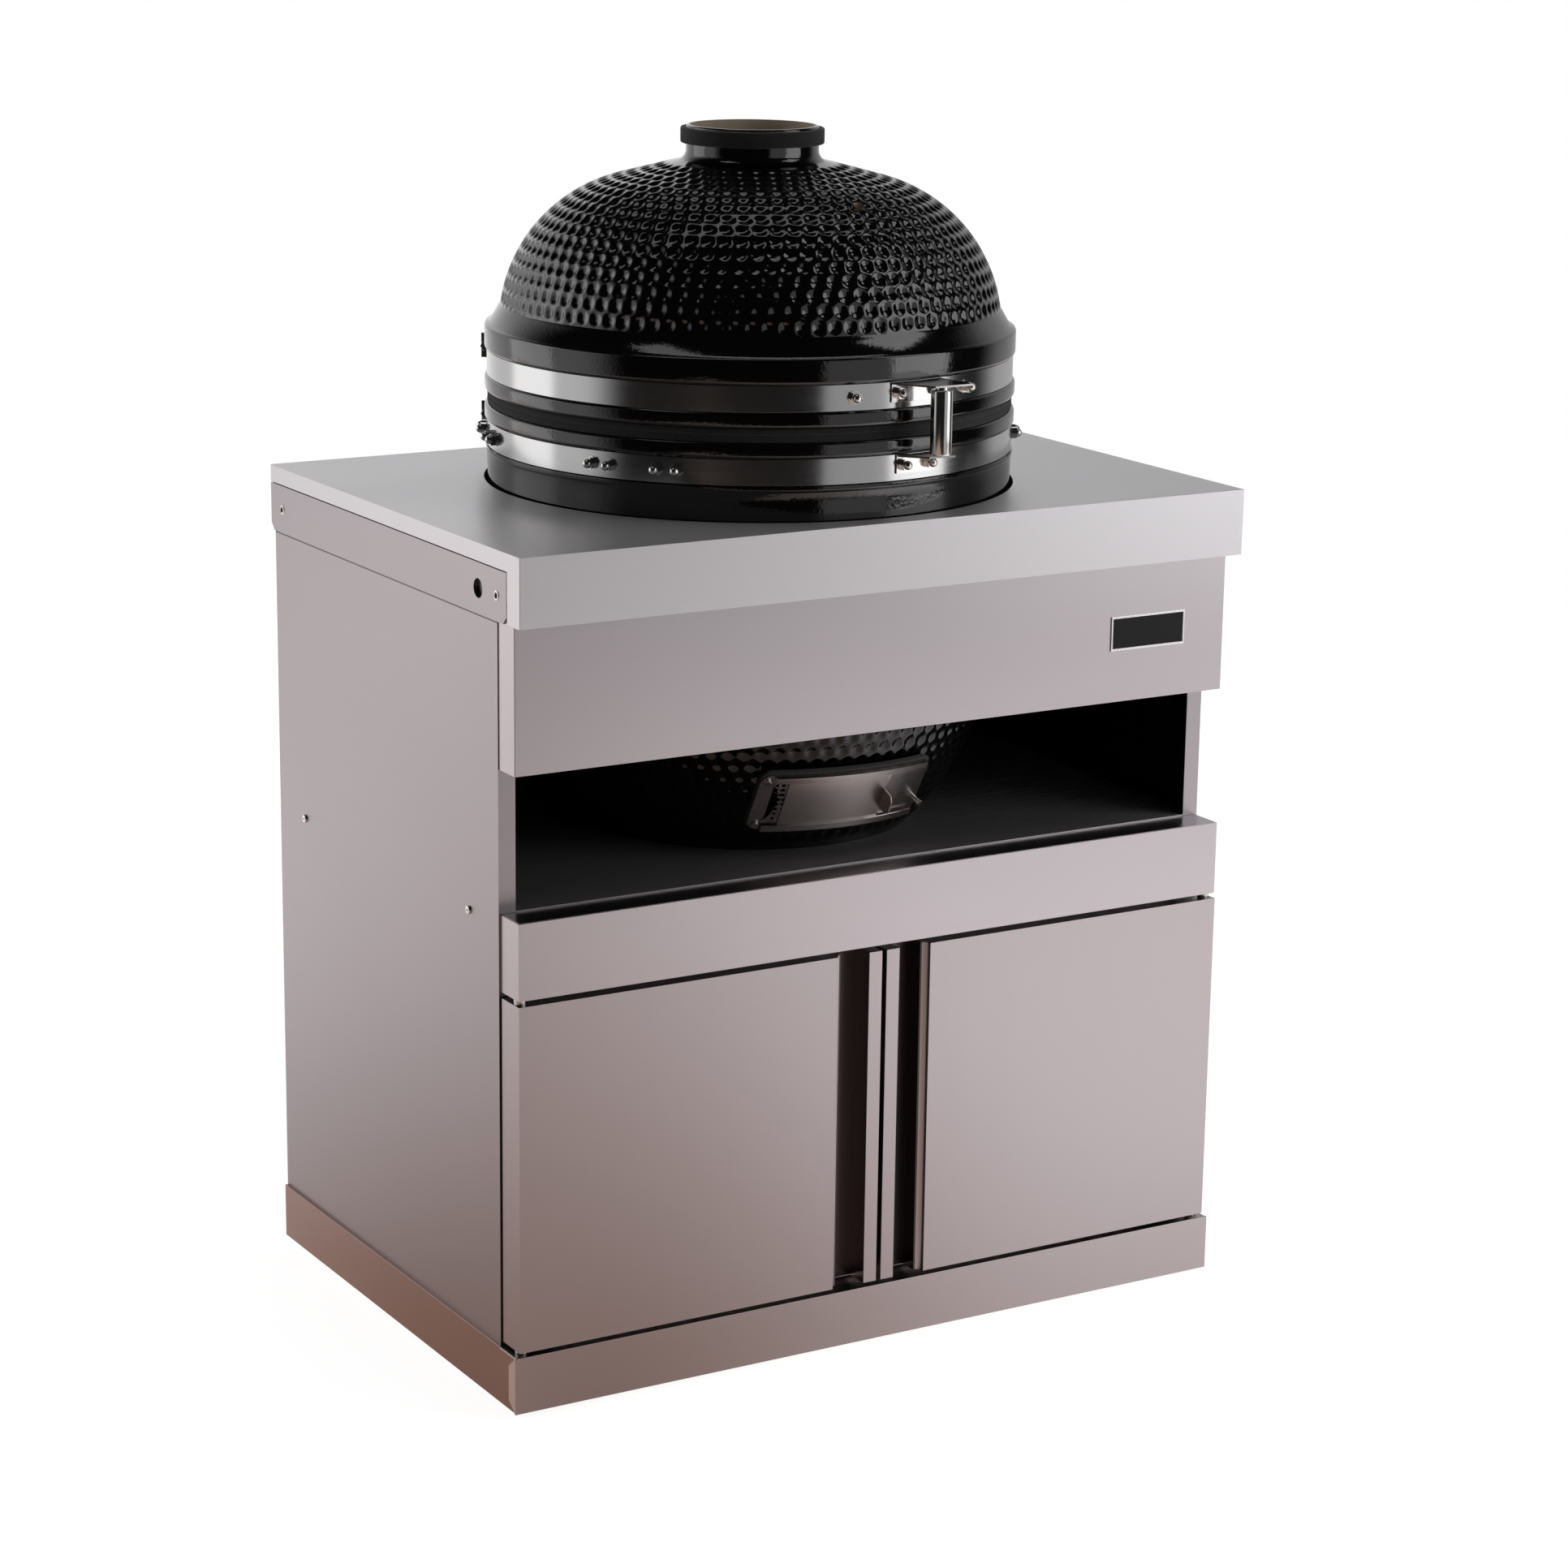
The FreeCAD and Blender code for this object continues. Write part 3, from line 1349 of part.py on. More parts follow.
# Draft door: a curved frame on felt, with a perforated screen and a solid slide in its lips.
# Its sheets follow a cone that touches the bowl, and their ends are cut square across.
def build_draft():
    height = size("draft_height")
    lean = (belly_height - height) / curve
    rise = root(1 - lean * lean)
    reach = bowl_outer(height)
    lean_angle = math.degrees(math.asin(lean.number))
    turn = -size("draft_turn")

    def spot(out, up):
        """A point on the tangent cone, from the distances off it and up along it."""
        return (reach + out * rise + up * lean, height - out * lean + up * rise)

    felt_out = size("draft_felt")
    thin = size("draft_sheet")
    slide_thin = size("draft_slide_sheet")
    frame_out = felt_out + thin
    screen_out = frame_out + running_gap
    slide_out = screen_out + slide_thin + running_gap
    lip_out = slide_out + slide_thin + running_gap
    lip_end = lip_out + thin
    high = size("draft_frame_top")
    low = -size("draft_frame_bottom")
    cover = size("draft_lip_cover")
    half = size("draft_half_width")
    cut = size("draft_cut_reach")

    def across_front(corners, left, right):
        """A sheet of this section, cut square at its left and right ends."""
        shell = spun(corners, 64)
        return overlap(shell, block((reach - cut, reach + cut), (left, right), (height - cut, height + cut)))

    def sheet_of(near, far, bottom, over, left, right):
        section = [spot(near, bottom), spot(far, bottom), spot(far, over), spot(near, over)]
        return across_front(section, left, right)

    def rounded(near, far, bottom, over, left, right):
        """The same with rounded corners at both ends."""
        bend = size("draft_corner")
        down = spot(far, bottom)[1]
        up = spot(near, over)[1]
        form = prism("YZ_Plane", [
            (left + bend, down),
            (right - bend, down, bend),
            (right, down + bend),
            (right, up - bend, bend),
            (right - bend, up),
            (left + bend, up, bend),
            (left, up - bend),
            (left, down + bend, bend),
        ], reach - cut, reach + cut)
        section = [spot(near, bottom), spot(far, bottom), spot(far, over), spot(near, over)]
        return overlap(spun(section, 64), form)

    tall = size("draft_window_top")
    window_left = -size("draft_window_left")
    window_right = size("draft_window_right")
    plate = carve(rounded(felt_out, frame_out, low, high, -half, half),
                  sheet_of(felt_out - 3, frame_out + 3, -tall, tall, window_left, window_right))
    # The lips run only between the corner screws.
    rail_left = -size("draft_lip_left")
    rail_right = size("draft_lip_right")
    rails = [
        across_front([spot(frame_out - 0.2, end), spot(lip_end, end), spot(lip_end, end + way * cover),
                      spot(lip_out, end + way * cover), spot(lip_out, end + way * thin),
                      spot(frame_out - 0.2, end + way * thin)], rail_left, rail_right)
        for end, way in ((low, 1), (high, -1))
    ]

    def along_normal(out, up, length, radius, angle):
        item = doc.addObject("Part::Cylinder", "Shank")
        bind(item, "Radius", radius)
        bind(item, "Height", length)
        item.Placement = Placement(Vector(), Rotation(Vector(0, 1, 0), 90 + lean_angle))
        place = spot(out, up)
        bind(item, "Placement.Base.x", place[0])
        bind(item, "Placement.Base.z", place[1])
        return turned(item, angle)

    def corner_screw(side, up):
        """The angle round the bowl at which a screw lies this far to the side."""
        return arcsine(side / (reach + up * lean)), up

    corners = [
        corner_screw(-size("draft_screw_top_side"), size("draft_screw_top")),
        corner_screw(-size("draft_screw_bottom_side"), -size("draft_screw_bottom")),
        corner_screw(size("draft_screw_top_side"), size("draft_screw_top")),
        corner_screw(size("draft_standoff_side"), -size("draft_standoff_drop")),
    ]
    shank = 2.5
    holes = [along_normal(as_size(-1), up, frame_out + 3, shank, angle) for angle, up in corners]
    screws = []
    for angle, up in corners:
        raised = angle.number > 0 and up.number < 0
        head_out = frame_out + size("draft_standoff") if raised else frame_out
        parts = [along_normal(as_size(0.2), up, head_out - 0.2, shank, angle),
                 along_normal(head_out, up, as_size(3), 4.2, angle)]
        if raised:
            parts.append(along_normal(frame_out, up, size("draft_standoff"), 3.5, angle))
        screws.append(fuse(*parts))
    piece("draft_screws", stand(gather(*screws), turn))
    piece("draft_frame", stand(carve(fuse(plate, *rails), *holes), turn))
    pad = rounded(as_size(0.2), felt_out, low - 1, high + 3, -half, half)
    pad_window = sheet_of(as_size(-3), felt_out + 2, -tall, tall, window_left, window_right)
    piece("draft_felt", stand(carve(pad, pad_window, *holes), turn))
    slide_low = low + thin + running_gap
    slide_high = high - thin - running_gap
    slide_right = size("slide_right")
    solid = sheet_of(slide_out, slide_out + slide_thin, slide_low, slide_high, -size("slide_left"),
                     slide_right)
    tab_half = size("tab_length") / 2
    tab_middle = -size("tab_drop")
    tab_corner = 5
    tab_out = slide_out + size("tab_reach")
    lift = size("tab_corner_lift")
    tab = prism("XZ_Plane", [
        spot(slide_out + 0.4, tab_middle - tab_half),
        spot(tab_out - tab_corner, tab_middle - tab_half + lift),
        spot(tab_out, tab_middle - tab_half + tab_corner + lift),
        spot(tab_out, tab_middle + tab_half - tab_corner + lift),
        spot(tab_out - tab_corner, tab_middle + tab_half + lift),
        spot(slide_out + 0.4, tab_middle + tab_half),
    ], slide_right - slide_thin, slide_right)
    # The slide curves back to its right end, and the tab's root follows it.
    tab_shift = reach - across(reach, slide_right)
    tab_holder = gather(tab)
    bind(tab_holder, "Placement.Base.x", -tab_shift)
    piece("draft_slide", stand(fuse(solid, tab_holder), turn))
    finger_out = size("screen_left") + size("screen_finger_radius") - size("screen_finger_depth")
    screen = sheet_of(screen_out, screen_out + slide_thin, slide_low, slide_high, -size("screen_left"),
                      size("screen_right"))
    finger_height = height - 4
    cuts = [rod("x", (reach - cut, -finger_out, finger_height), 2 * cut, size("screen_finger_radius"))]
    pitch = size("perforation_pitch")
    for row in range(-4, 5):
        for column, first in ((0, 1), (1, -4)):
            if row >= first:
                place = -size("screen_left") + 3.5 + 5.6 * column
                cuts.append(rod("x", (reach - cut, place, height + row * pitch * rise), 2 * cut,
                                size("perforation_radius")))
    piece("draft_screen", stand(carve(screen, *cuts), turn))


build_worktop()
build_side_plates()
build_side_panels()
build_back_panel()
build_niche_shelf()
build_cabinet_floor()
build_worktop_angles()
build_valance()
build_rail()
build_plinth()
build_feet()
build_doors()
build_bowl()
build_fire_box()
build_lid()
build_felts()
build_bands()
build_nuts()
build_latch()
build_hinge()
build_springs()
build_draft()
doc.recompute()

for item in doc.Objects:
    if "Invalid" in item.State or "Error" in item.State:
        raise RuntimeError(f"{item.Label} ({item.Name}) did not build: {item.State}")
for label, item in pieces.items():
    if item.Shape.isNull() or not item.Shape.isValid() or not item.Shape.Solids:
        raise RuntimeError(f"{label} has no valid shape")

os.makedirs("parts", exist_ok=True)
for label, item in pieces.items():
    item.Shape.exportStep(f"parts/{label}.step")
print(f"{len(pieces)} sub-parts written")
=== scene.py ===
import json
import math

import bmesh
import bpy
import numpy as np
from mathutils import Matrix, Vector


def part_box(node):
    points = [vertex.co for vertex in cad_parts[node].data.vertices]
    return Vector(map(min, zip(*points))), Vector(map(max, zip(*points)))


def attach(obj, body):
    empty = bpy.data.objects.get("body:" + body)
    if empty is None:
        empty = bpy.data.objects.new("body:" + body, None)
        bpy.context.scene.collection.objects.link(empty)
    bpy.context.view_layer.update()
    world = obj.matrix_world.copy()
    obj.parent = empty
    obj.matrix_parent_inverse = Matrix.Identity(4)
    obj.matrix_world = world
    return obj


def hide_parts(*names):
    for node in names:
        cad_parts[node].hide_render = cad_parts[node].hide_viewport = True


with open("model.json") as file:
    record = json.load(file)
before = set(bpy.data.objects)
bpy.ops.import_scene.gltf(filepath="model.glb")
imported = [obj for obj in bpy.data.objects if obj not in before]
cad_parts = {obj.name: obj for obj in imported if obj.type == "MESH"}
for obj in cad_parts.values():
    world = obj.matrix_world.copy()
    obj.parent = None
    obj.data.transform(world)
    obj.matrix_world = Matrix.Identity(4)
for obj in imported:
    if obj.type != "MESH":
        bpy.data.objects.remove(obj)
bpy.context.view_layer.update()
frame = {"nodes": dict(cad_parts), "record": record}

# Sheet-steel worktop.
# One pan folded from satin stainless sheet, with a deep apron at the front and a turned-down rim
# round the kamado's opening. The grain runs along its length, and its folds are slightly round.


def linear(red, green, blue):
    """A screen colour of 0 to 255 as the light values that a shader takes."""
    values = [part / 255 for part in (red, green, blue)]
    return tuple(v / 12.92 if v <= 0.04045 else ((v + 0.055) / 1.055) ** 2.4 for v in values)


def toned(colour, share):
    """The colour made darker or lighter by this share."""
    return tuple(min(1.0, part * share) for part in colour)


class Signal:
    """One output of a node. Arithmetic on it adds Math nodes to the same tree."""

    def __init__(self, bench, node, output=0):
        self.bench = bench
        self.node = node
        self.socket = node.outputs[output] if len(node.outputs) else None

    def other(self, output):
        """Another output of the same node."""
        return Signal(self.bench, self.node, output)

    def maths(self, operation, *values):
        return self.bench.add("ShaderNodeMath", {"operation": operation}, dict(enumerate(values)))

    def __add__(self, other):
        return self.maths("ADD", self, other)

    __radd__ = __add__

    def __sub__(self, other):
        return self.maths("SUBTRACT", self, other)

    def __rsub__(self, other):
        return self.maths("SUBTRACT", other, self)

    def __mul__(self, other):
        return self.maths("MULTIPLY", self, other)

    __rmul__ = __mul__

    def __truediv__(self, other):
        return self.maths("DIVIDE", self, other)

    def __rtruediv__(self, other):
        return self.maths("DIVIDE", other, self)

    def __pow__(self, other):
        return self.maths("POWER", self, other)

    def __abs__(self):
        return self.maths("ABSOLUTE", self)

    def __gt__(self, other):
        return self.maths("GREATER_THAN", self, other)

    def __lt__(self, other):
        return self.maths("LESS_THAN", self, other)

    def at_least(self, low):
        return self.maths("MAXIMUM", self, low)

    def smooth(self, low, high):
        """0 below low, 1 above high, and a soft step between them."""
        return self.bench.add("ShaderNodeMapRange", {"interpolation_type": "SMOOTHSTEP"},
                              {"Value": self, "From Min": low, "From Max": high})

    def parts(self):
        """The x, y and z of a vector."""
        split = self.bench.add("ShaderNodeSeparateXYZ", sockets={0: self})
        return [split.other(axis) for axis in range(3)]


class Bench:
    """A node tree that is being built."""

    def __init__(self, tree):
        self.tree = tree

    def add(self, kind, settings=None, sockets=None, output=0):
        """A node of this type, with its settings first and then its sockets' values or links."""
        node = self.tree.nodes.new(kind)
        for name, value in (settings or {}).items():
            setattr(node, name, value)
        for name, value in (sockets or {}).items():
            self.feed(node.inputs[name], value)
        return Signal(self, node, output)

    def feed(self, socket, value):
        """Links a signal, or each one of a list, and sets a plain value or a colour."""
        if isinstance(value, list):
            for part in value:
                self.feed(socket, part)
        elif isinstance(value, Signal):
            self.tree.links.new(value.socket, socket)
        else:
            socket.default_value = (*value, 1.0) if socket.type == "RGBA" else value


class Finish(Bench):
    """A material with one surface shader."""

    def __init__(self, name):
        self.material = bpy.data.materials.new(name)
        self.material.use_nodes = True
        self.material.node_tree.nodes.clear()
        super().__init__(self.material.node_tree)
        self.place = self.add("ShaderNodeTexCoord", output="Object")

    def stretched(self, scale):
        """Places on the object, closer together along the ways with a larger scale."""
        return self.add("ShaderNodeMapping", sockets={"Vector": self.place, "Scale": scale})

    def noise(self, place, scale, detail=2.0, roughness=0.5):
        return self.add("ShaderNodeTexNoise", sockets={
            "Vector": place, "Scale": scale, "Detail": detail, "Roughness": roughness})

    def blend(self, factor, first, second):
        """From the first colour to the second."""
        return self.add("ShaderNodeMix", {"data_type": "RGBA"}, {0: factor, 6: first, 7: second}, 2)

    def relief(self, height, depth, strength=1.0):
        return self.add("ShaderNodeBump", sockets={
            "Height": height, "Distance": depth, "Strength": strength})

    def surface(self, **sockets):
        """Ends the tree. An underscore stands for a space in a socket's name."""
        names = {name.replace("_", " "): value for name, value in sockets.items()}
        shader = self.add("ShaderNodeBsdfPrincipled", sockets=names)
        self.add("ShaderNodeOutputMaterial", sockets={"Surface": shader})
        return self.material


class BrushedSheet(Finish):
    """Stainless sheet, brushed along x or z, with soft smears where it has been wiped."""

    def __init__(self, name, colour, roughness, along="x", contrast=0.06, wiping=0.05,
                 wipe=(3, 3, 5)):
        super().__init__(name)
        self.grain = self.brushing(along)
        smear = self.noise(self.stretched(wipe), 1.0, 3.0)
        tone = (self.grain - 0.5) * contrast + (smear - 0.5) * wiping + 0.5
        self.colour = self.blend(tone, toned(colour, 0.82), toned(colour, 1.18))
        self.roughness = (self.grain - 0.5) * 0.08 + (smear - 0.5) * 0.05 + roughness
        self.normal = self.relief(self.grain, 0.00006, 0.25)

    def brushing(self, along):
        """Fine lines along this way, but along y on upright sheets that look to a side."""
        facing = self.add("ShaderNodeTexCoord", output="Normal")
        aside = abs(facing.parts()[0]) > 0.7
        front_scale, side_scale = {
            "x": ((5, 800, 800), (800, 5, 800)),
            "z": ((700, 700, 5), (700, 700, 5)),
        }[along]
        front = self.noise(self.stretched(front_scale), 1.0, 3.0, 0.6)
        side = self.noise(self.stretched(side_scale), 1.0, 3.0, 0.6)
        return front + (side - front) * aside


def satin_steel(name, colour, roughness, metallic=1.0):
    sheet = BrushedSheet(name, colour, roughness)
    return sheet.surface(Base_Color=sheet.colour, Metallic=metallic, Roughness=sheet.roughness,
                         Normal=sheet.normal)


def placed(name, data):
    """A new object of the scene, at the origin."""
    made = bpy.data.objects.new(name, data)
    bpy.context.scene.collection.objects.link(made)
    return made


def worked_mesh(holder, change):
    """The mesh that a modifier makes of an object. Both go."""
    ready = holder.evaluated_get(bpy.context.evaluated_depsgraph_get())
    result = bpy.data.meshes.new_from_object(ready)
    holder.modifiers.remove(change)
    bpy.data.objects.remove(holder)
    return result


def soft_shaded(mesh, crease):
    """Shades the mesh soft, apart from edges that turn by more than the crease."""
    for face in mesh.polygons:
        face.use_smooth = True
    mesh.set_sharp_from_angle(angle=math.radians(crease))


bodies = frame["record"]["behaviour"]["bodies"]
BODY_OF_NODE = {node: body for body, nodes in bodies.items() for node in nodes}


def standing_for(mesh, node, crease=None, name=None):
    """A finished mesh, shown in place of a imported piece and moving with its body."""
    if crease:
        soft_shaded(mesh, crease)
    made = placed(name or node + "_finished", mesh)
    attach(made, BODY_OF_NODE[node])
    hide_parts(node)
    return made


def folded(node, finish, edge=0.0005, crease=25):
    """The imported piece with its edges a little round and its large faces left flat."""
    form = bmesh.new()
    form.from_mesh(frame["nodes"][node].data)
    bmesh.ops.remove_doubles(form, verts=form.verts, dist=2e-6)
    bmesh.ops.dissolve_limit(form, angle_limit=math.radians(0.5), verts=form.verts,
                             edges=form.edges, use_dissolve_boundaries=False)
    if edge:
        sharp = [line for line in form.edges if len(line.link_faces) == 2
                 and line.calc_face_angle(0) > math.radians(crease)]
        bmesh.ops.bevel(form, geom=sharp, offset=edge, segments=2, profile=0.5, affect="EDGES",
                        clamp_overlap=True)
    mesh = bpy.data.meshes.new(node + "_form")
    form.to_mesh(mesh)
    form.free()
    mesh.materials.append(finish)
    soft_shaded(mesh, 50 if edge else crease)
    holder = placed("work", mesh)
    change = holder.modifiers.new("flats", "WEIGHTED_NORMAL")
    change.keep_sharp = True
    return standing_for(worked_mesh(holder, change), node)


FOLD_ROUND = 0.001
folded("worktop", satin_steel("worktop_satin_steel", linear(232, 229, 232), 0.34, metallic=0.5),
       FOLD_ROUND)

# Cabinet carcass.
# Folded side panels whose front edges are the posts, a slotted back panel and sheet floors, all
# of satin stainless. Inside the niche the sheets are black.

SHEET_EDGE = 0.0003
PANEL_TONE = linear(158, 152, 155)
panel_low, panel_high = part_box("side_panel_right")
plate_low, plate_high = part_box("side_plate_right")
post_front = panel_low[1]
panel_outside = panel_high[0]
plate_middle = (plate_low[2] + plate_high[2]) / 2
# The steel's own surface reaches this far in from a sheet's outside.
SKIN = 0.0009
# The shelf sockets in the side plates are open, and painted shade makes the panel black inside
# each.
SOCKET_SETBACK = 0.064
SOCKET_RADIUS = 0.0103
# A painted shadow: a narrow black strip on the panel under the side plates' lower edges.
SHADOW_STRIP = 0.0034


def steel_with_black(name, steel_outside):
    """Satin steel where the mask is 1, and black elsewhere, which also serves as painted shade and
    shadow.
    """
    sheet = BrushedSheet(name, PANEL_TONE, 0.34)
    mask = steel_outside(*sheet.place.parts())
    speck = sheet.noise(sheet.place, 900.0, 2.0)
    black_and_painted_shade = sheet.blend(speck, (0.006, 0.006, 0.007), (0.012, 0.012, 0.013))
    black_roughness = 0.20
    return sheet.surface(
        Base_Color=sheet.blend(mask, black_and_painted_shade, sheet.colour),
        Metallic=mask,
        Roughness=(sheet.roughness - black_roughness) * mask + black_roughness,
        Normal=sheet.normal,
    )


def panel_mask(across_x, depth_y, up_z):
    outer = abs(across_x) > panel_outside - SKIN
    post = depth_y < post_front + SKIN
    rear = depth_y > panel_high[1] - SKIN
    low = up_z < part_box("ledge_rail")[0][2]
    socket_y = plate_low[1] + SOCKET_SETBACK
    from_socket = (depth_y - socket_y) ** 2 + (up_z - plate_middle) ** 2
    # Painted shade: black inside each open socket.
    socket = from_socket < SOCKET_RADIUS ** 2
    # Painted shadow: the black strip under the side plates.
    painted_plate_shadow = outer * (abs(up_z - plate_low[2] + SHADOW_STRIP / 2) < SHADOW_STRIP / 2)
    steel_part = (outer + post + rear + low) > 0.5
    return steel_part * (1 - socket) * (1 - painted_plate_shadow)


def back_mask(across_x, depth_y, up_z):
    return depth_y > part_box("back_panel")[1][1] - SKIN


side_steel = steel_with_black("side_panel_steel", panel_mask)
folded("side_panel_left", side_steel)
folded("side_panel_right", side_steel)
folded("back_panel", steel_with_black("back_panel_steel", back_mask), SHEET_EDGE)

plain_steel = satin_steel("carcass_satin_steel", PANEL_TONE, 0.34)
for node in ("cabinet_floor", "worktop_angles", "shelf_stiffeners"):
    folded(node, plain_steel, SHEET_EDGE)
for node in ("side_plate_left", "side_plate_right"):
    folded(node, plain_steel, 0.0014)

# The niche floor is polished brighter, so that it mirrors the dark bowl over it.
folded("niche_shelf", satin_steel("niche_floor_bright_steel", linear(188, 184, 186), 0.24,
                                  metallic=0.6))

# Fascias: the valance under the apron and the deep rail below the niche.
# Folded boxes of satin stainless, hung proud of the posts. At the valance's right end sits a small
# black plate in a bright rim.

fascia_steel = satin_steel("fascia_satin_steel", linear(178, 172, 175), 0.30)
folded("valance", fascia_steel, FOLD_ROUND)
rail = folded("ledge_rail", fascia_steel, FOLD_ROUND)
# The rail's top lies a little lower than the niche floor, whose edge shows as a bright line.
RAIL_DROP = 0.0018
rail_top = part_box("ledge_rail")[1][2]
for corner in rail.data.vertices:
    if corner.co.z > rail_top - FOLD_ROUND:
        corner.co.z -= RAIL_DROP

BADGE_RIM = 0.0022
badge_low, badge_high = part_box("badge_plate")


def inside_badge(along, axis):
    """1 where a place is inside the rim along one axis."""
    middle = (badge_low[axis] + badge_high[axis]) / 2
    half = (badge_high[axis] - badge_low[axis]) / 2
    return abs(along - middle) < half - BADGE_RIM


plate = Finish("bare_plate_black")
plate_x, _, plate_z = plate.place.parts()
field = inside_badge(plate_x, 0) * inside_badge(plate_z, 2)
plate_speck = plate.noise(plate.place, 1500.0, 2.0)
folded("badge_plate", plate.surface(
    Base_Color=plate.blend(field, (0.88, 0.87, 0.87), (0.004, 0.004, 0.005)),
    Metallic=1 - field,
    Roughness=field * 0.15 + plate_speck * 0.08 + 0.16,
    Specular_IOR_Level=0.2,
), 0.0002)

# Plinth and levelling feet.
# A base of folded satin sheets, the front one wrapped round the corners, on four screw-in feet
# of plated steel.

plinth_steel = satin_steel("plinth_satin_steel", linear(172, 165, 166), 0.30)
# Painted reflection: the flanks get a browner, darker copy of the plinth's steel, standing for the
# warm floor they mirror.
flank_painted_reflection = satin_steel("plinth_flank_steel", linear(156, 132, 124), 0.30)
for node in ("plinth_left", "plinth_right"):
    folded(node, flank_painted_reflection, FOLD_ROUND)
folded("plinth_back", plinth_steel, FOLD_ROUND)
wrapped = folded("plinth_front", plinth_steel, FOLD_ROUND)
# Painted light: the front sheet's ends, folded back along the flanks, get a brighter copy of its
# steel than its face.
wrapped.data.materials.append(satin_steel("plinth_corner_steel", linear(214, 208, 210), 0.30))
plinth_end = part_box("plinth_front")[1][0]
for face in wrapped.data.polygons:
    if abs(face.normal.x) > 0.95 and abs(face.center.x) > plinth_end - SKIN:
        face.material_index = 1


def clouded_metal(name, scale, dark, light, roughness, spread):
    """Bare metal whose colour and gloss vary in small clouds."""
    metal = Finish(name)
    cloud = metal.noise(metal.place, scale, 3.0)
    return metal.surface(Base_Color=metal.blend(cloud, dark, light), Metallic=1.0,
                         Roughness=cloud * spread + roughness)


plated_steel = clouded_metal("zinc_plated_steel", 120.0, (0.50, 0.50, 0.49),
                             (0.70, 0.70, 0.68), 0.2, 0.2)
folded("levelling_feet", plated_steel, 0.0006, 40)
folded("foot_plates", plated_steel, SHEET_EDGE, 40)

# Doors.
# Two double-skinned doors of satin sheet on pivot pins. Each has a full-height finger channel
# beside the narrow strip at its free edge, and the channel is dark.

CHANNEL_NEAR = 0.0190
CHANNEL_FAR = 0.0525
CHANNEL_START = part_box("door_left")[0][1] + 0.004

door = BrushedSheet("door_satin_steel", linear(172, 165, 167), 0.32, "z", 0.07, 0.06, (3, 3, 2))
door_x, door_y, _ = door.place.parts()
door_side = abs(door_x)
channel = (door_side > CHANNEL_NEAR) * (door_side < CHANNEL_FAR) * (door_y > CHANNEL_START)
# The finger channel's colour is made dark.
dark_channel_tone = door.blend(door.grain, (0.05, 0.042, 0.042), (0.09, 0.078, 0.078))
door_skin = door.surface(Base_Color=door.blend(channel, door.colour, dark_channel_tone), Metallic=1.0,
                         Roughness=door.roughness, Normal=door.normal)
for node in ("door_left", "door_right"):
    folded(node, door_skin, FOLD_ROUND)
for node in ("door_liner_left", "door_liner_right"):
    folded(node, plain_steel, SHEET_EDGE)
for node in ("door_pins_left", "door_pins_right"):
    folded(node, plated_steel, 0.0002, 40)
magnet_metal = clouded_metal("catch_magnet", 400.0, (0.35, 0.35, 0.36), (0.5, 0.5, 0.5),
                             0.25, 0.2)
folded("catch_magnets", magnet_metal, SHEET_EDGE)

# Kamado shells.
# Bowl and lid are cast in heavy ceramic and dipped in a black glaze. Rows of round hollows cover
# both outsides, pressed so close that only thin ridges stand between them.

KAMADO_Y = (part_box("lid_gasket")[0][1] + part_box("lid_gasket")[1][1]) / 2
NICHE_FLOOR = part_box("niche_shelf")[1][2]
MILLIMETRE = 0.001


def kamado_matrix(turn):
    """From millimetres with x to the kamado's front, y to its right and z up, to the scene."""
    quarter = Matrix.Rotation(math.radians(turn - 90), 4, "Z")
    return Matrix.Translation((0, KAMADO_Y, NICHE_FLOOR)) @ quarter @ Matrix.Scale(MILLIMETRE, 4)


# The lid's handle and the draft door look to slightly different sides.
lid_place = kamado_matrix(7)
draft_place = kamado_matrix(-3.5)


def glaze(name, mirroring):
    ceramic = Finish(name)
    pool = ceramic.noise(ceramic.place, 40.0, 3.0)
    peel = ceramic.noise(ceramic.place, 260.0, 2.0)
    return ceramic.surface(
        Base_Color=ceramic.blend(pool, (0.0014, 0.0014, 0.0018), (0.003, 0.003, 0.0036)),
        Roughness=pool * 0.06 + 0.06,
        IOR=mirroring,
        Normal=ceramic.relief(peel, 0.00025, 0.5),
    )


black_glaze = glaze("black_glaze", 1.7)
belly_glaze = glaze("belly_glaze", 1.42)

clay = Finish("bare_fire_clay")
clay_cloud = clay.noise(clay.place, 30.0, 4.0)
clay_grit = clay.noise(clay.place, 700.0, 2.0)
bare_clay = clay.surface(
    Base_Color=clay.blend(clay_cloud * 0.7 + clay_grit * 0.3, (0.44, 0.34, 0.25),
                          (0.68, 0.57, 0.45)),
    Roughness=0.9,
    Normal=clay.relief(clay_grit, 0.0004, 0.6),
)


def arc_stations(centre, radius, start, end, count):
    """Points (radius, height) on an arc, from one angle in degrees to another."""
    angles = np.radians(np.linspace(start, end, count))
    return [(centre[0] + radius * math.cos(a), centre[1] + radius * math.sin(a)) for a in angles]


def line_stations(start, end, count):
    """Points on a straight line, without its first."""
    return [tuple(spot) for spot in np.linspace(start, end, count)[1:]]


def mesh_of(name, points, faces=(), finishes=()):
    mesh = bpy.data.meshes.new(name)
    mesh.from_pydata(points, [], faces)
    for finish in finishes:
        mesh.materials.append(finish)
    return mesh


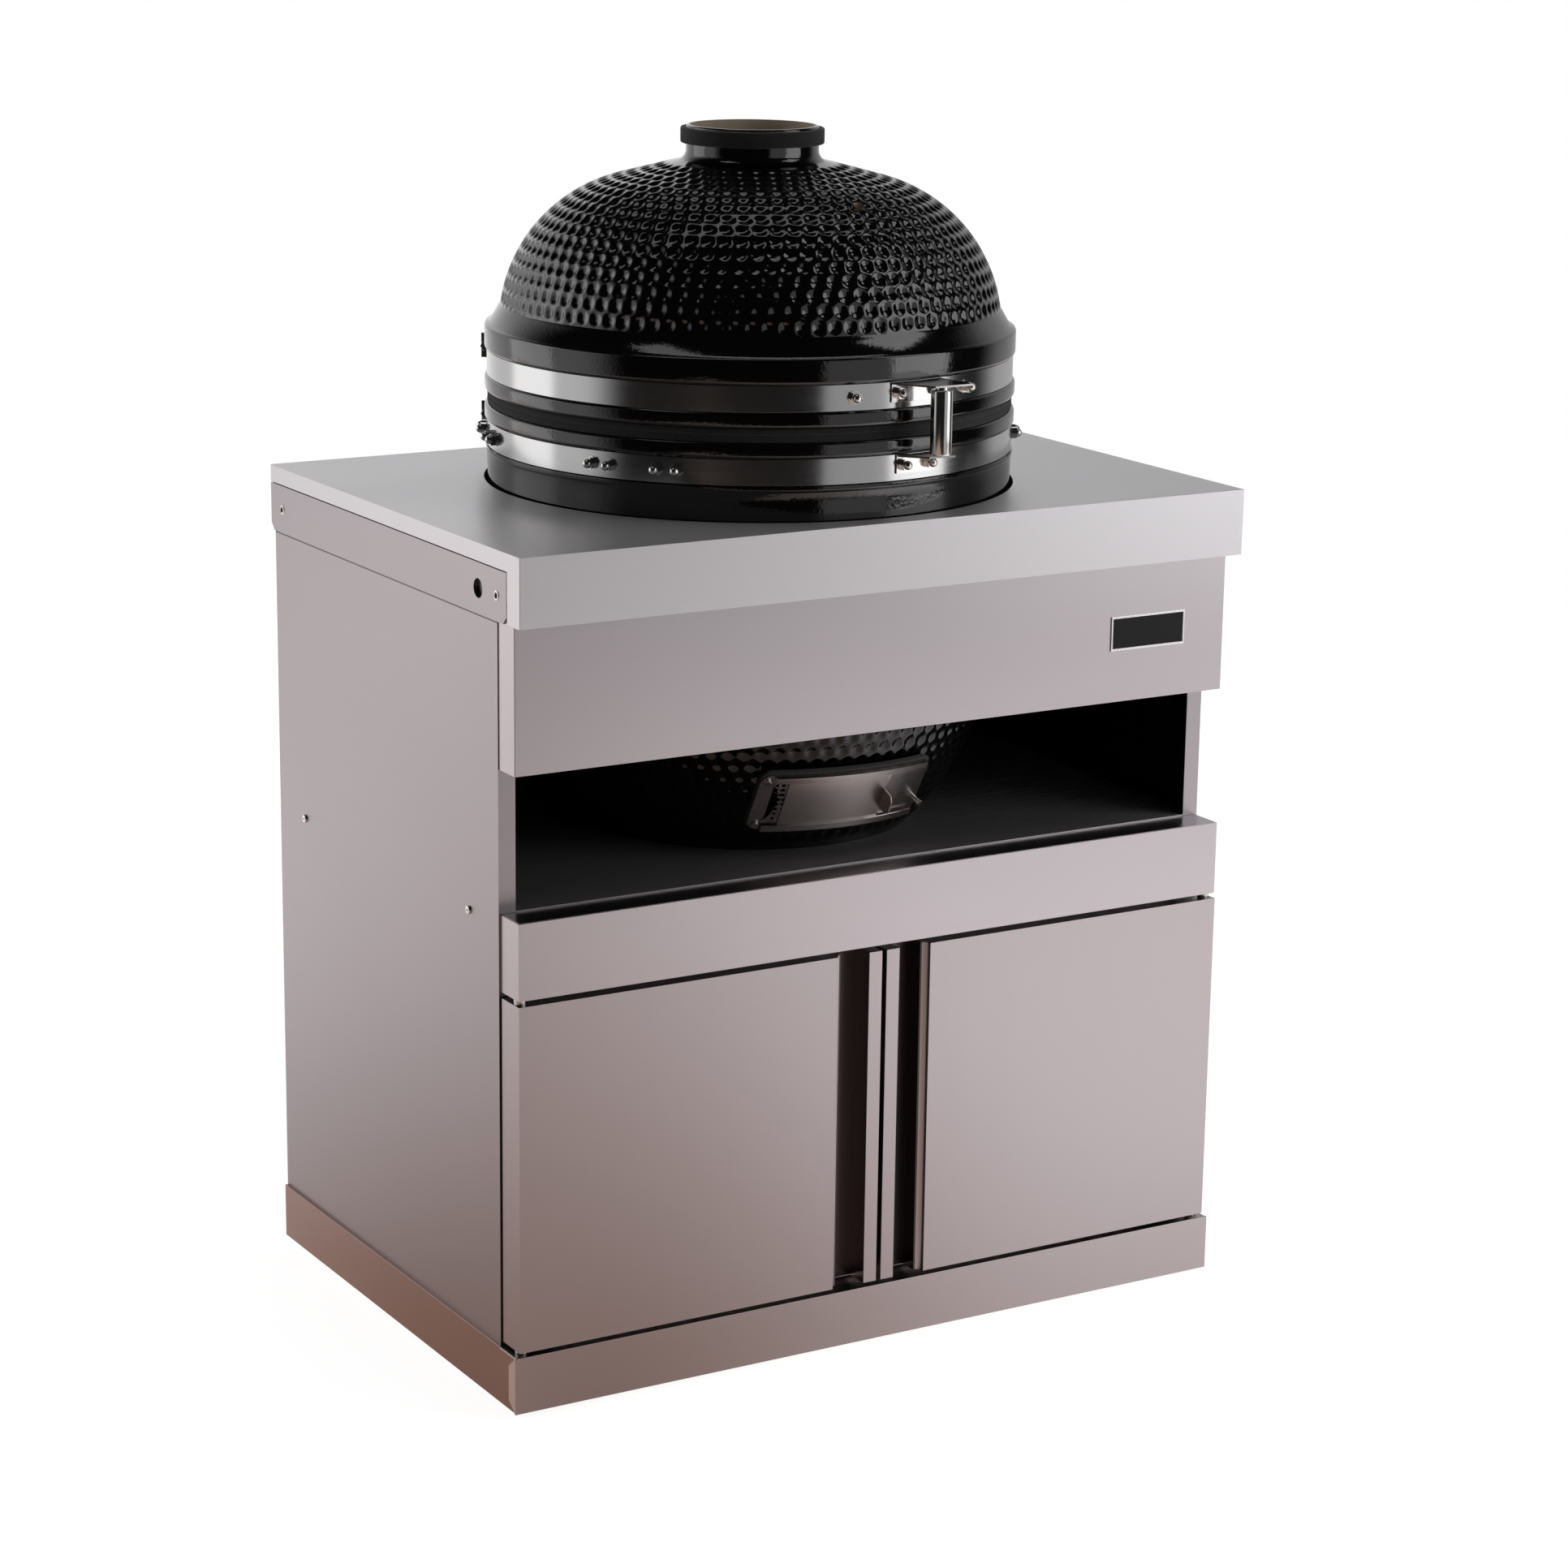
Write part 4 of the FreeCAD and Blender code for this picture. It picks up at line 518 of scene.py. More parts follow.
def turned_mesh(name, stations, columns, finishes, finish_of=None, place=lid_place):
    """A mesh turned about the axis through (radius, height) stations, outside on the right."""
    stations = np.array(stations, dtype=float)
    angles = np.arange(columns) * (2 * math.pi / columns)
    points = np.empty((len(stations), columns, 3))
    points[:, :, 0] = stations[:, 0, None] * np.cos(angles)
    points[:, :, 1] = stations[:, 0, None] * np.sin(angles)
    points[:, :, 2] = stations[:, 1, None]
    turn = np.array(place)
    points = points.reshape(-1, 3) @ turn[:3, :3].T + turn[:3, 3]
    step = np.arange(columns)
    after = (step + 1) % columns
    faces = []
    numbers = []
    for row in range(len(stations) - 1):
        low = row * columns
        high = low + columns
        faces.append(np.stack([low + step, low + after, high + after, high + step], axis=1))
        numbers.extend([finish_of[row] if finish_of else 0] * columns)
    mesh = mesh_of(name, points.tolist(), np.concatenate(faces).tolist(), finishes)
    mesh.polygons.foreach_set("material_index", np.array(numbers, dtype=np.int32))
    form = bmesh.new()
    form.from_mesh(mesh)
    bmesh.ops.remove_doubles(form, verts=form.verts, dist=1e-6)
    form.to_mesh(mesh)
    form.free()
    return mesh


# Objects that lend their points or their form to a recipe until it has been worked.
lent = []


def lend(mesh):
    lent.append(placed(mesh.name, mesh))
    return lent[-1]


class Recipe(Bench):
    """A Geometry Nodes tree with named inputs and one shape as its result."""

    def __init__(self, name, inputs):
        super().__init__(bpy.data.node_groups.new(name, "GeometryNodeTree"))
        face = self.tree.interface
        face.new_socket("Shape", in_out="INPUT", socket_type="NodeSocketGeometry")
        for label, kind in inputs.items():
            face.new_socket(label, in_out="INPUT", socket_type="NodeSocket" + kind)
        face.new_socket("Shape", in_out="OUTPUT", socket_type="NodeSocketGeometry")
        self.given = self.add("NodeGroupInput")

    def asked(self, label):
        return self.given.other(label)

    def form_of(self, label):
        """The form of the object that is lent under this name."""
        return self.add("GeometryNodeObjectInfo", {"transform_space": "ORIGINAL"},
                        {"Object": self.asked(label)}, "Geometry")

    def set_out(self, points, form):
        """The form at each point, turned to the way that the point looks."""
        aim = self.add("GeometryNodeInputNamedAttribute", {"data_type": "FLOAT_VECTOR"},
                       {"Name": "aim"})
        turn = self.add("FunctionNodeAlignRotationToVector", {"axis": "Z"}, {"Vector": aim})
        return self.add("GeometryNodeInstanceOnPoints", sockets={
            "Points": points, "Instance": form, "Rotation": turn})

    def served(self, shape):
        """Ends the tree: instances made real, and the finish set."""
        real = self.add("GeometryNodeRealizeInstances", sockets={0: shape})
        painted = self.add("GeometryNodeSetMaterial", sockets={
            "Geometry": real, "Material": self.asked("Finish")})
        self.add("NodeGroupOutput", sockets={0: painted})

    def worked(self, mesh, values):
        """The mesh that the recipe makes of this one with these values."""
        holder = placed("work", mesh)
        change = holder.modifiers.new("work", "NODES")
        change.node_group = self.tree
        for item in self.tree.interface.items_tree:
            if item.in_out == "INPUT" and item.name in values:
                change[item.identifier] = values[item.name]
        result = worked_mesh(holder, change)
        while lent:
            bpy.data.objects.remove(lent.pop())
        return result


hollows = Recipe("press_round_hollows", {
    "Centres": "Object", "Radius": "Float", "Depth": "Float", "Finish": "Material"})
centre_points = hollows.add("GeometryNodeMeshToPoints", sockets={0: hollows.form_of("Centres")})
distance = hollows.add("GeometryNodeProximity", {"target_element": "POINTS"},
                       {0: centre_points}, "Distance")
share = distance / hollows.asked("Radius")
bowl_shape = (1 - share * share).at_least(0.0)
inward = bowl_shape * bowl_shape * hollows.asked("Depth") * -1.0
normal = hollows.add("GeometryNodeInputNormal")
shift = hollows.add("ShaderNodeVectorMath", {"operation": "SCALE"}, {0: normal, "Scale": inward})
hollows.served(hollows.add("GeometryNodeSetPosition", sockets={
    "Geometry": hollows.asked("Shape"), "Offset": shift}))

# Sizes of the shells and of what sits on them are in millimetres.
HOLLOW_PITCH = 17.5
HOLLOW_RADIUS = 9.3
HOLLOW_DEPTH = 2.7


def along_stations(stations):
    """The distance along a line of stations at each of them."""
    stations = np.array(stations)
    steps = np.hypot(*(stations[1:] - stations[:-1]).T)
    return np.concatenate([[0], np.cumsum(steps)])


def hollow_centres(name, stations, margins, place):
    """Staggered rows of centres, with fewer in a row where the shell is narrower."""
    along = along_stations(stations)
    radii, heights = np.array(stations).T
    first = margins[0]
    last = along[-1] - margins[1]
    rows = int((last - first) / (HOLLOW_PITCH * math.sqrt(3) / 2)) + 1
    spots = []
    for row in range(rows):
        reach = first + row * (last - first) / (rows - 1)
        radius = np.interp(reach, along, radii)
        height = np.interp(reach, along, heights)
        count = round(2 * math.pi * radius / HOLLOW_PITCH)
        for number in range(count):
            angle = 2 * math.pi * (number + 0.5 * (row % 2)) / count
            spot = Vector((radius * math.cos(angle), radius * math.sin(angle), height))
            spots.append(place @ spot)
    return mesh_of(name, spots)


def pressed_zone(name, stations, columns, marks, place, finish):
    """The hollowed stretch of a shell."""
    sheet = turned_mesh(name, stations, columns, [finish], place=place)
    return hollows.worked(sheet, {
        "Centres": lend(marks), "Radius": HOLLOW_RADIUS * MILLIMETRE,
        "Depth": HOLLOW_DEPTH * MILLIMETRE, "Finish": finish})


def drop_faces(mesh, inside, snap):
    """Opens a shell: faces whose points are all inside go, and the cut edge is snapped to shape."""
    form = bmesh.new()
    form.from_mesh(mesh)
    gone = [face for face in form.faces if all(inside(corner.co) for corner in face.verts)]
    bmesh.ops.delete(form, geom=gone, context="FACES")
    for corner in form.verts:
        if corner.is_boundary:
            corner.co = snap(corner.co)
    form.to_mesh(mesh)
    form.free()


# The lid: two glazed rings hold its band, and a dome with hollows rises to a plain neck.
WALL = 24
BELLY_RADIUS = 289
INSIDE = BELLY_RADIUS - WALL
RING_EDGE = 288
EDGE_ROUND = 4
LID_LOW = 477.7
DOME_FOOT = (274.5, 570.7)
DOME_CENTRE = (107.3, 546.3)
DOME_RADIUS = 169
CONE_SLOPE = 14.5
CONE_END = 92
NECK_RADIUS = 72.5
NECK_FLARE = 12
dome_start = math.degrees(math.asin((DOME_FOOT[1] - DOME_CENTRE[1]) / DOME_RADIUS))
crown = arc_stations(DOME_CENTRE, DOME_RADIUS, 90 - CONE_SLOPE, 90, 2)[0]


def cone_height(radius):
    """The height of the cone between the dome's crown and the neck."""
    return crown[1] + (crown[0] - radius) * math.tan(math.radians(CONE_SLOPE))


dome_line = arc_stations(DOME_CENTRE, DOME_RADIUS, dome_start, 90 - CONE_SLOPE, 117)
dome_line += line_stations(crown, (CONE_END, cone_height(CONE_END)), 24)
# The dome is pressed in two sheets, with more columns up to this station, on its wide shoulder.
SHOULDER = 57

GAUGE_RADIUS = 6.6
# Only points this near the hole's axis, and no deeper, are moved to its edge.
GAUGE_ZONE = 12
GAUGE_DEPTH = 40
gauge_tilt = math.radians(28.6)
gauge_way = Vector((math.sin(gauge_tilt), 0, math.cos(gauge_tilt)))
gauge_spot = Vector((DOME_CENTRE[0], 0, DOME_CENTRE[1])) + gauge_way * DOME_RADIUS
to_lid = lid_place.inverted()


def from_gauge(point):
    """A lid's point as its depth along the gauge hole's axis and its way off the axis."""
    away = to_lid @ point - gauge_spot
    depth = away.dot(gauge_way)
    return depth, away - gauge_way * depth


def in_gauge(point):
    depth, off = from_gauge(point)
    return depth > -GAUGE_DEPTH and off.length < GAUGE_RADIUS - 1.4


def to_gauge_edge(point):
    depth, off = from_gauge(point)
    if off.length > GAUGE_ZONE or depth < -GAUGE_DEPTH:
        return point
    return lid_place @ (gauge_spot + gauge_way * depth + off.normalized() * GAUGE_RADIUS)


dome_marks = hollow_centres("dome_marks", dome_line, (9.5, 10), lid_place)
shoulder = pressed_zone("lid_shoulder", dome_line[:SHOULDER + 1], 1056, dome_marks, lid_place,
                        black_glaze)
standing_for(shoulder, "lid", 179, "lid_shoulder_hollowed")
dome = pressed_zone("lid_dome", dome_line[SHOULDER:], 704, dome_marks, lid_place, black_glaze)
drop_faces(dome, in_gauge, to_gauge_edge)
standing_for(dome, "lid", 179, "lid_dome_hollowed")

ring = [(INSIDE, LID_LOW), (RING_EDGE, LID_LOW)]
ring += arc_stations((RING_EDGE, LID_LOW + EDGE_ROUND), EDGE_ROUND, -90, 0, 6)[1:]
ring += arc_stations((RING_EDGE, 490.7), EDGE_ROUND, 0, 75, 6)
ring += [(287, 494.9), (287, 522.5)]
ring += arc_stations((RING_EDGE, 526.7), EDGE_ROUND, -75, 0, 6)
ring += arc_stations((RING_EDGE, 546.7), EDGE_ROUND, 0, 70, 6)
ring += [(285.5, 552.4), (276.5, 568.2), DOME_FOOT]
flare_centre = (NECK_RADIUS + NECK_FLARE, cone_height(NECK_RADIUS + NECK_FLARE) + NECK_FLARE)
neck = [dome_line[-1]]
neck += arc_stations(flare_centre, NECK_FLARE, 255, 180, 8)
neck += [(NECK_RADIUS, 762.5)]
neck += arc_stations((NECK_RADIUS - 2.5, 763), 2.5, 0, 90, 5)[1:]
neck += [(68.5, 765.5)]
bare_lining = [(66.5, 765.5), (66, 764.9), (66, 705.5)]
bare_lining += arc_stations(DOME_CENTRE, DOME_RADIUS - WALL, 90 - CONE_SLOPE, 0, 20)
bare_lining += [(INSIDE, 495), (INSIDE, LID_LOW)]


def glazed_and_bare(name, glazed, bare, columns):
    """One turned mesh with glaze up to the last glazed station and bare clay from there."""
    finish_of = [0] * (len(glazed) - 1) + [1] * len(bare)
    return turned_mesh(name, glazed + bare, columns, [black_glaze, bare_clay], finish_of)


standing_for(glazed_and_bare("lid_lower", ring, [], 192), "lid", 40, "lid_rings_glazed")
standing_for(glazed_and_bare("lid_neck", neck, bare_lining, 128), "lid", 40,
             "lid_neck_and_lining")


def gauge_wall(columns=32):
    """The bare wall of the gauge's hole, seen from inside."""
    side = gauge_way.orthogonal().normalized()
    other = gauge_way.cross(side)
    points = []
    for depth in (-WALL, -0.8):
        for number in range(columns):
            angle = 2 * math.pi * number / columns
            out = side * math.cos(angle) + other * math.sin(angle)
            points.append(lid_place @ (gauge_spot + gauge_way * depth + out * GAUGE_RADIUS))
    faces = [(n, columns + n, columns + (n + 1) % columns, (n + 1) % columns)
             for n in range(columns)]
    return mesh_of("gauge_hole_wall", points, faces, [bare_clay])


standing_for(gauge_wall(), "lid", 60, "gauge_hole_bare_wall")

# The bowl: the same hollows from its foot up to the plain rings that hold its band.
BELLY_HEIGHT = 255
BOWL_ARC = 372
FOOT_HEIGHT = 8
BOWL_RIM = 463.3
bowl_centre = (BELLY_RADIUS - BOWL_ARC, BELLY_HEIGHT)


def bowl_reach(height, depth=0):
    """The bowl's radius at a height below its belly, this deep inside its outer face."""
    return bowl_centre[0] + math.sqrt((BOWL_ARC - depth) ** 2 - (BELLY_HEIGHT - height) ** 2)


foot_angle = math.degrees(math.asin((FOOT_HEIGHT - BELLY_HEIGHT) / BOWL_ARC))
bowl_line = arc_stations(bowl_centre, BOWL_ARC, foot_angle, 0, 104)
bowl_line += line_stations((BELLY_RADIUS, BELLY_HEIGHT), (BELLY_RADIUS, 372), 38)

# The draft window in the bowl's front, as half its width and its heights.
WINDOW_SIDE = 75
WINDOW_LOW = 49
WINDOW_HIGH = 95
to_draft = draft_place.inverted()


def near_window(local, margin):
    """Whether a point of the bowl's front is in the window or within a margin of it."""
    return (local.x > 60 and abs(local.y) < WINDOW_SIDE + margin
            and WINDOW_LOW - margin < local.z < WINDOW_HIGH + margin)


def in_window(point):
    return near_window(to_draft @ point, 1)


def to_window_edge(point):
    local = to_draft @ point
    if not near_window(local, 9):
        return point
    side = min(max(local.y, -WINDOW_SIDE), WINDOW_SIDE)
    up = min(max(local.z, WINDOW_LOW), WINDOW_HIGH)
    to_side = WINDOW_SIDE - abs(side)
    to_end = min(up - WINDOW_LOW, WINDOW_HIGH - up)
    # A point in the opening goes to its nearer edge.
    if 0 < to_side < to_end:
        side = math.copysign(WINDOW_SIDE, side)
    elif 0 < to_end <= to_side:
        up = WINDOW_LOW if up - WINDOW_LOW < WINDOW_HIGH - up else WINDOW_HIGH
    return draft_place @ Vector((local.x, side, up))


belly_marks = hollow_centres("bowl_marks", bowl_line, (14, 16), draft_place)
belly = pressed_zone("bowl_outside", bowl_line, 600, belly_marks, draft_place, belly_glaze)
drop_faces(belly, in_window, to_window_edge)
standing_for(belly, "bowl", 179, "bowl_hollowed")

bowl_ring = [(BELLY_RADIUS, 372), (BELLY_RADIUS, 385), (289.6, 400), (289.6, 410)]
bowl_ring += arc_stations((287, 414), EDGE_ROUND, -40, 0, 4)
bowl_ring += [(291, 417), (287, 418.2), (287, 445.8)]
bowl_ring += arc_stations((RING_EDGE, 450), EDGE_ROUND, -75, 0, 6)
bowl_ring += arc_stations((RING_EDGE, BOWL_RIM - EDGE_ROUND), EDGE_ROUND, 0, 90, 7)
bare_inside = [(INSIDE + EDGE_ROUND, BOWL_RIM), (INSIDE, BOWL_RIM - EDGE_ROUND),
               (INSIDE, BELLY_HEIGHT)]
bare_inside += arc_stations(bowl_centre, BOWL_ARC - WALL, -6, -40.2, 20)
bare_inside += [(176, 30), (0.01, 30)]
rim_mesh = glazed_and_bare("bowl_rim", bowl_ring, bare_inside, 192)
drop_faces(rim_mesh, in_window, to_window_edge)
standing_for(rim_mesh, "bowl", 40, "bowl_rings_and_lining")
foot_line = [(0.01, 0), (bowl_reach(0), 0), bowl_line[0]]
foot_mesh = turned_mesh("bowl_foot", foot_line, 192, [bare_clay, black_glaze], [0, 1])
standing_for(foot_mesh, "bowl", 40, "bowl_foot_bare")


def window_wall():
    """The four bare sides of the opening behind the draft door."""
    corners = []
    for up in (WINDOW_LOW, WINDOW_HIGH):
        for side in (-WINDOW_SIDE, WINDOW_SIDE):
            for depth in (0, WALL):
                forward = math.sqrt(bowl_reach(up, depth) ** 2 - side ** 2)
                corners.append(draft_place @ Vector((forward, side, up)))
    low_left, low_left_in, low_right, low_right_in, left, left_in, right, right_in = range(8)
    faces = [(low_left, low_right, low_right_in, low_left_in),
             (right, left, left_in, right_in),
             (left, low_left, low_left_in, left_in),
             (low_right, right, right_in, low_right_in)]
    return mesh_of("draft_opening", corners, faces, [bare_clay])


standing_for(window_wall(), "bowl", 30, "draft_opening_bare_wall")

# Fire box, fire ring and grates inside the kamado.
# Bare fire clay, cast iron and drawn steel rod. They stand loose in each other and in the bowl.

folded("fire_box", bare_clay, 0.0008, 40)
folded("fire_ring", bare_clay, 0.0008, 40)

iron = Finish("cast_iron")
iron_grain = iron.noise(iron.place, 500.0, 3.0)
folded("charcoal_grate", iron.surface(
    Base_Color=iron.blend(iron_grain, (0.03, 0.028, 0.026), (0.075, 0.07, 0.066)),
    Metallic=0.6,
    Roughness=iron_grain * 0.2 + 0.55,
    Normal=iron.relief(iron_grain, 0.0003, 0.5),
), 0.0006)
steel_rod = clouded_metal("drawn_steel_rod", 300.0, (0.42, 0.41, 0.40),
                          (0.62, 0.61, 0.60), 0.22, 0.15)
folded("cooking_grate", steel_rod, 0, 40)

# Felts.
# Flat rings of dense black felt glued on both ceramic rims, a collar of it round the chimney, and
# a paler felt under the draft door's frame.


def felt(name, dark, light):
    cloth = Finish(name)
    fibre = cloth.noise(cloth.stretched((500, 500, 700)), 1.0, 4.0, 0.7)
    clump = cloth.noise(cloth.place, 90.0, 3.0)
    return cloth.surface(
        Base_Color=cloth.blend(fibre * 0.7 + clump * 0.3, dark, light),
        Roughness=0.95,
        Sheen_Weight=0.25,
        Sheen_Roughness=0.6,
        Normal=cloth.relief(fibre, 0.0006, 0.8),
    )


black_felt = felt("black_felt", (0.004, 0.004, 0.0045), (0.018, 0.018, 0.019))
grey_felt = felt("grey_felt", (0.012, 0.012, 0.013), (0.065, 0.063, 0.062))


def felt_ring(node, radii, heights, pressed_round, columns=256):
    """A felt ring whose outer edges are pressed round."""
    inner, outer = radii
    low, high = heights
    edge = outer - pressed_round
    line = [(inner, high), (inner, low), (edge, low)]
    line += arc_stations((edge, low + pressed_round), pressed_round, -90, 0, 5)[1:]
    line += arc_stations((edge, high - pressed_round), pressed_round, 0, 90, 5)
    line += [(inner, high)]
    standing_for(turned_mesh(node + "_ring", line, columns, [black_felt]), node, 60)


FELT_RADII = (INSIDE + EDGE_ROUND, BELLY_RADIUS)
felt_ring("base_gasket", FELT_RADII, (BOWL_RIM, 470.35), 2.2)
felt_ring("lid_gasket", FELT_RADII, (470.65, LID_LOW), 2.2)
felt_ring("chimney_gasket", (NECK_RADIUS, NECK_RADIUS + 6), (746, 763), 1.8, 128)
folded("draft_felt", grey_felt, 0.0008, 40)

# Bands.
# Two bright stainless bands are drawn round the ceramic rings by bolts at their lugs, and the
# front brackets and the hinge plates sit on them.


def bright_steel(name, colour, roughness, contrast):
    """Polished sheet, brushed round the kamado."""
    steel = Finish(name)
    grain = steel.noise(steel.stretched((8, 8, 900)), 1.0, 3.0, 0.6)
    cloud = steel.noise(steel.place, 14.0, 3.0)
    tone = (grain - 0.5) * contrast + (cloud - 0.5) * 0.08 + 0.5
    return steel.surface(
        Base_Color=steel.blend(tone, toned(colour, 0.8), toned(colour, 1.2)),
        Metallic=1.0,
        Roughness=(grain - 0.5) * 0.08 + (cloud - 0.5) * 0.04 + roughness,
        Normal=steel.relief(grain, 0.00004, 0.04),
    )


band_steel = bright_steel("polished_band_steel", (0.52, 0.515, 0.515), 0.17, 0.16)
bracket_steel = bright_steel("polished_bracket_steel", (0.58, 0.57, 0.565), 0.16, 0.1)
for node in ("base_band", "lid_band"):
    folded(node, band_steel, 0.0005, 30)
for node in ("lift_bracket", "stop_bracket", "hinge_base_bracket", "hinge_lid_bracket"):
    folded(node, bracket_steel, SHEET_EDGE, 30)

fastener_steel = clouded_metal("bright_fastener_steel", 250.0, (0.62, 0.61, 0.60),
                               (0.80, 0.79, 0.78), 0.10, 0.12)
for node in ("base_clamp_bolts", "lid_clamp_bolts"):
    folded(node, fastener_steel, 0.0004, 30)
for node in ("hinge_pin", "draft_screws"):
    folded(node, fastener_steel, 0.0005, 40)

# The acorn nuts on the bands: a hexagon on a washer, closed by a round cap.
nuts = Recipe("set_acorn_nuts", {
    "Hexagon Radius": "Float", "Hexagon Height": "Float", "Cap Radius": "Float",
    "Cap Height": "Float", "Washer Radius": "Float", "Washer Height": "Float",
    "Finish": "Material"})
hexagon_height = nuts.asked("Hexagon Height")
hexagon = nuts.add("GeometryNodeMeshCylinder", sockets={
    "Vertices": 6, "Radius": nuts.asked("Hexagon Radius"), "Depth": hexagon_height})
hexagon_lift = nuts.add("ShaderNodeCombineXYZ", sockets={2: hexagon_height * 0.5})
hexagon = nuts.add("GeometryNodeTransform", sockets={
    "Geometry": hexagon, "Translation": hexagon_lift})
washer = nuts.add("GeometryNodeMeshCylinder", sockets={
    "Vertices": 24, "Radius": nuts.asked("Washer Radius"), "Depth": nuts.asked("Washer Height")})
cap = nuts.add("GeometryNodeMeshUVSphere", sockets={
    "Segments": 20, "Rings": 12, "Radius": nuts.asked("Cap Radius")})
cap_lift = nuts.add("ShaderNodeCombineXYZ", sockets={2: hexagon_height})
cap_form = nuts.add("ShaderNodeCombineXYZ", sockets={
    0: 1.0, 1: 1.0, 2: nuts.asked("Cap Height") / nuts.asked("Cap Radius")})
cap = nuts.add("GeometryNodeTransform", sockets={
    "Geometry": cap, "Translation": cap_lift, "Scale": cap_form})
nut = nuts.add("GeometryNodeJoinGeometry", sockets={0: [hexagon, washer, cap]})
nuts.served(nuts.set_out(nuts.asked("Shape"), nut))


def aimed_points(name, points, ways):
    """Points that each keep the way that they look."""
    mesh = mesh_of(name, points)
    aims = mesh.attributes.new("aim", "FLOAT_VECTOR", "POINT")
    aims.data.foreach_set("vector", np.array(ways, dtype=np.float32).ravel())
    return mesh


def points_round_kamado(name, spots, place):
    """Points that look outwards, from (angle round the kamado, reach, height)."""
    points = []
    ways = []
    for angle, reach, height in spots:
        out = Vector((math.cos(math.radians(angle)), math.sin(math.radians(angle)), 0))
        points.append(place @ (out * reach + Vector((0, 0, height))))
        ways.append((place.to_3x3() @ out).normalized())
    return aimed_points(name, points, ways)


BAND_FACE = 289.5
BRACKET_FACE = BAND_FACE + 2
base_spots = []
for side in (-1, 1):
    for group in (-1, 1):
        for spread in (-1, 1):
            for spot in (-1, 1):
                angle = side * (90 + group * 28 + spread * 7.6 + spot * 2.2)
                base_spots.append((angle, BAND_FACE, 432))
base_spots += [(side * 3.25, BRACKET_FACE, 435) for side in (-1, 1)]
lid_spots = [(side * 15, BAND_FACE, 508.7) for side in (-1, 1)]
lid_spots += [(side * 4.75, BRACKET_FACE, 511.2) for side in (-1, 1)]
NUT_SIZES = {"Hexagon Radius": 0.0066, "Hexagon Height": 0.0068, "Cap Radius": 0.0051,
             "Cap Height": 0.0056, "Washer Radius": 0.0074, "Washer Height": 0.0016}
for node, spots in (("base_band_nuts", base_spots), ("lid_band_nuts", lid_spots)):
    points = points_round_kamado(node, spots, lid_place)
    mesh = nuts.worked(points, {**NUT_SIZES, "Finish": fastener_steel})
    standing_for(mesh, node, 32)

# Lifting grip.
# A turned bar of polished steel hangs from the lid's front bracket by a narrow neck, and its
# lower end stops just over the bracket on the bowl's band.

GRIP_SHAFT = 9.3
GRIP_ROUND = 2.2
GRIP_NECK = 7
NECK_LENGTH = 3.5
grip_base, grip_top = [(corner[2] - NICHE_FLOOR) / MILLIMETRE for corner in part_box("lift_grip")]
shoulder_height = grip_top - NECK_LENGTH
grip_line = [(0.01, grip_base)]
grip_line += arc_stations((GRIP_SHAFT, grip_base + GRIP_ROUND), GRIP_ROUND, -90, 0, 6)
grip_line += arc_stations((GRIP_SHAFT, shoulder_height - GRIP_ROUND), GRIP_ROUND, 0, 90, 6)
grip_line += [(GRIP_NECK, shoulder_height), (GRIP_NECK, grip_top), (0.01, grip_top)]
grip_place = lid_place @ Matrix.Translation((BAND_FACE + 35.5, 5, 0))
grip_finish = bright_steel("polished_grip_steel", (0.66, 0.65, 0.64), 0.13, 0.25)
standing_for(turned_mesh("grip", grip_line, 48, [grip_finish], place=grip_place), "lift_grip", 50)

# Hinge springs.
# Two torsion springs wound from round drawn wire lie along the hinge pin at the back and hold
# the heavy lid up.

for node in ("hinge_spring_left", "hinge_spring_right"):
    folded(node, steel_rod, 0, 50)

# Draft door.
# A curved frame of stainless sheet is screwed over the bowl's lower opening on its felt. A
# perforated screen and a solid slide with a bent finger tab run in its lips.

frame_steel = bright_steel("draft_frame_steel", (0.54, 0.50, 0.485), 0.28, 0.1)
slide_steel = bright_steel("draft_slide_steel", (0.58, 0.535, 0.51), 0.34, 0.1)
folded("draft_frame", frame_steel, SHEET_EDGE, 30)
folded("draft_slide", slide_steel, SHEET_EDGE, 30)

# The screen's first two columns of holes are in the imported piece. The rest are cut here.
holes = Recipe("cut_round_holes", {
    "Spots": "Object", "Radius": "Float", "Length": "Float", "Finish": "Material"})
drill = holes.add("GeometryNodeMeshCylinder", sockets={
    "Vertices": 14, "Radius": holes.asked("Radius"), "Depth": holes.asked("Length")})
drills = holes.add("GeometryNodeRealizeInstances", sockets={
    0: holes.set_out(holes.form_of("Spots"), drill)})
holes.served(holes.add("GeometryNodeMeshBoolean", {"operation": "DIFFERENCE", "solver": "EXACT"},
                       {"Mesh 1": holes.asked("Shape"), "Mesh 2": drills}))

SCREEN_REACH = 246
COLUMN_PITCH = 5.6
ROW_PITCH = 6.9
# The screen leans with the bowl, so its rows rise by this share of their pitch.
ROW_RISE = 0.87063
window_middle = (WINDOW_LOW + WINDOW_HIGH) / 2
hole_spots = []
for column in range(2, 23):
    for row in range(-4, 5):
        across = COLUMN_PITCH * column - 84.5
        angle = math.degrees(math.asin(across / SCREEN_REACH))
        hole_spots.append((angle, SCREEN_REACH, window_middle + row * ROW_PITCH * ROW_RISE))
screen = folded("draft_screen", frame_steel, 0.0002, 30)
screen.data = holes.worked(screen.data, {
    "Spots": lend(points_round_kamado("screen_hole_spots", hole_spots, draft_place)),
    "Radius": 0.0018, "Length": 0.05, "Finish": frame_steel})
screen.data.set_sharp_from_angle(angle=math.radians(30))

# Screws of the side plates and of the niche floor.
# Open flanged nuts are pressed into each side plate near its ends. Two pan-headed stainless
# screws with a cross recess hold the niche floor through each side panel.

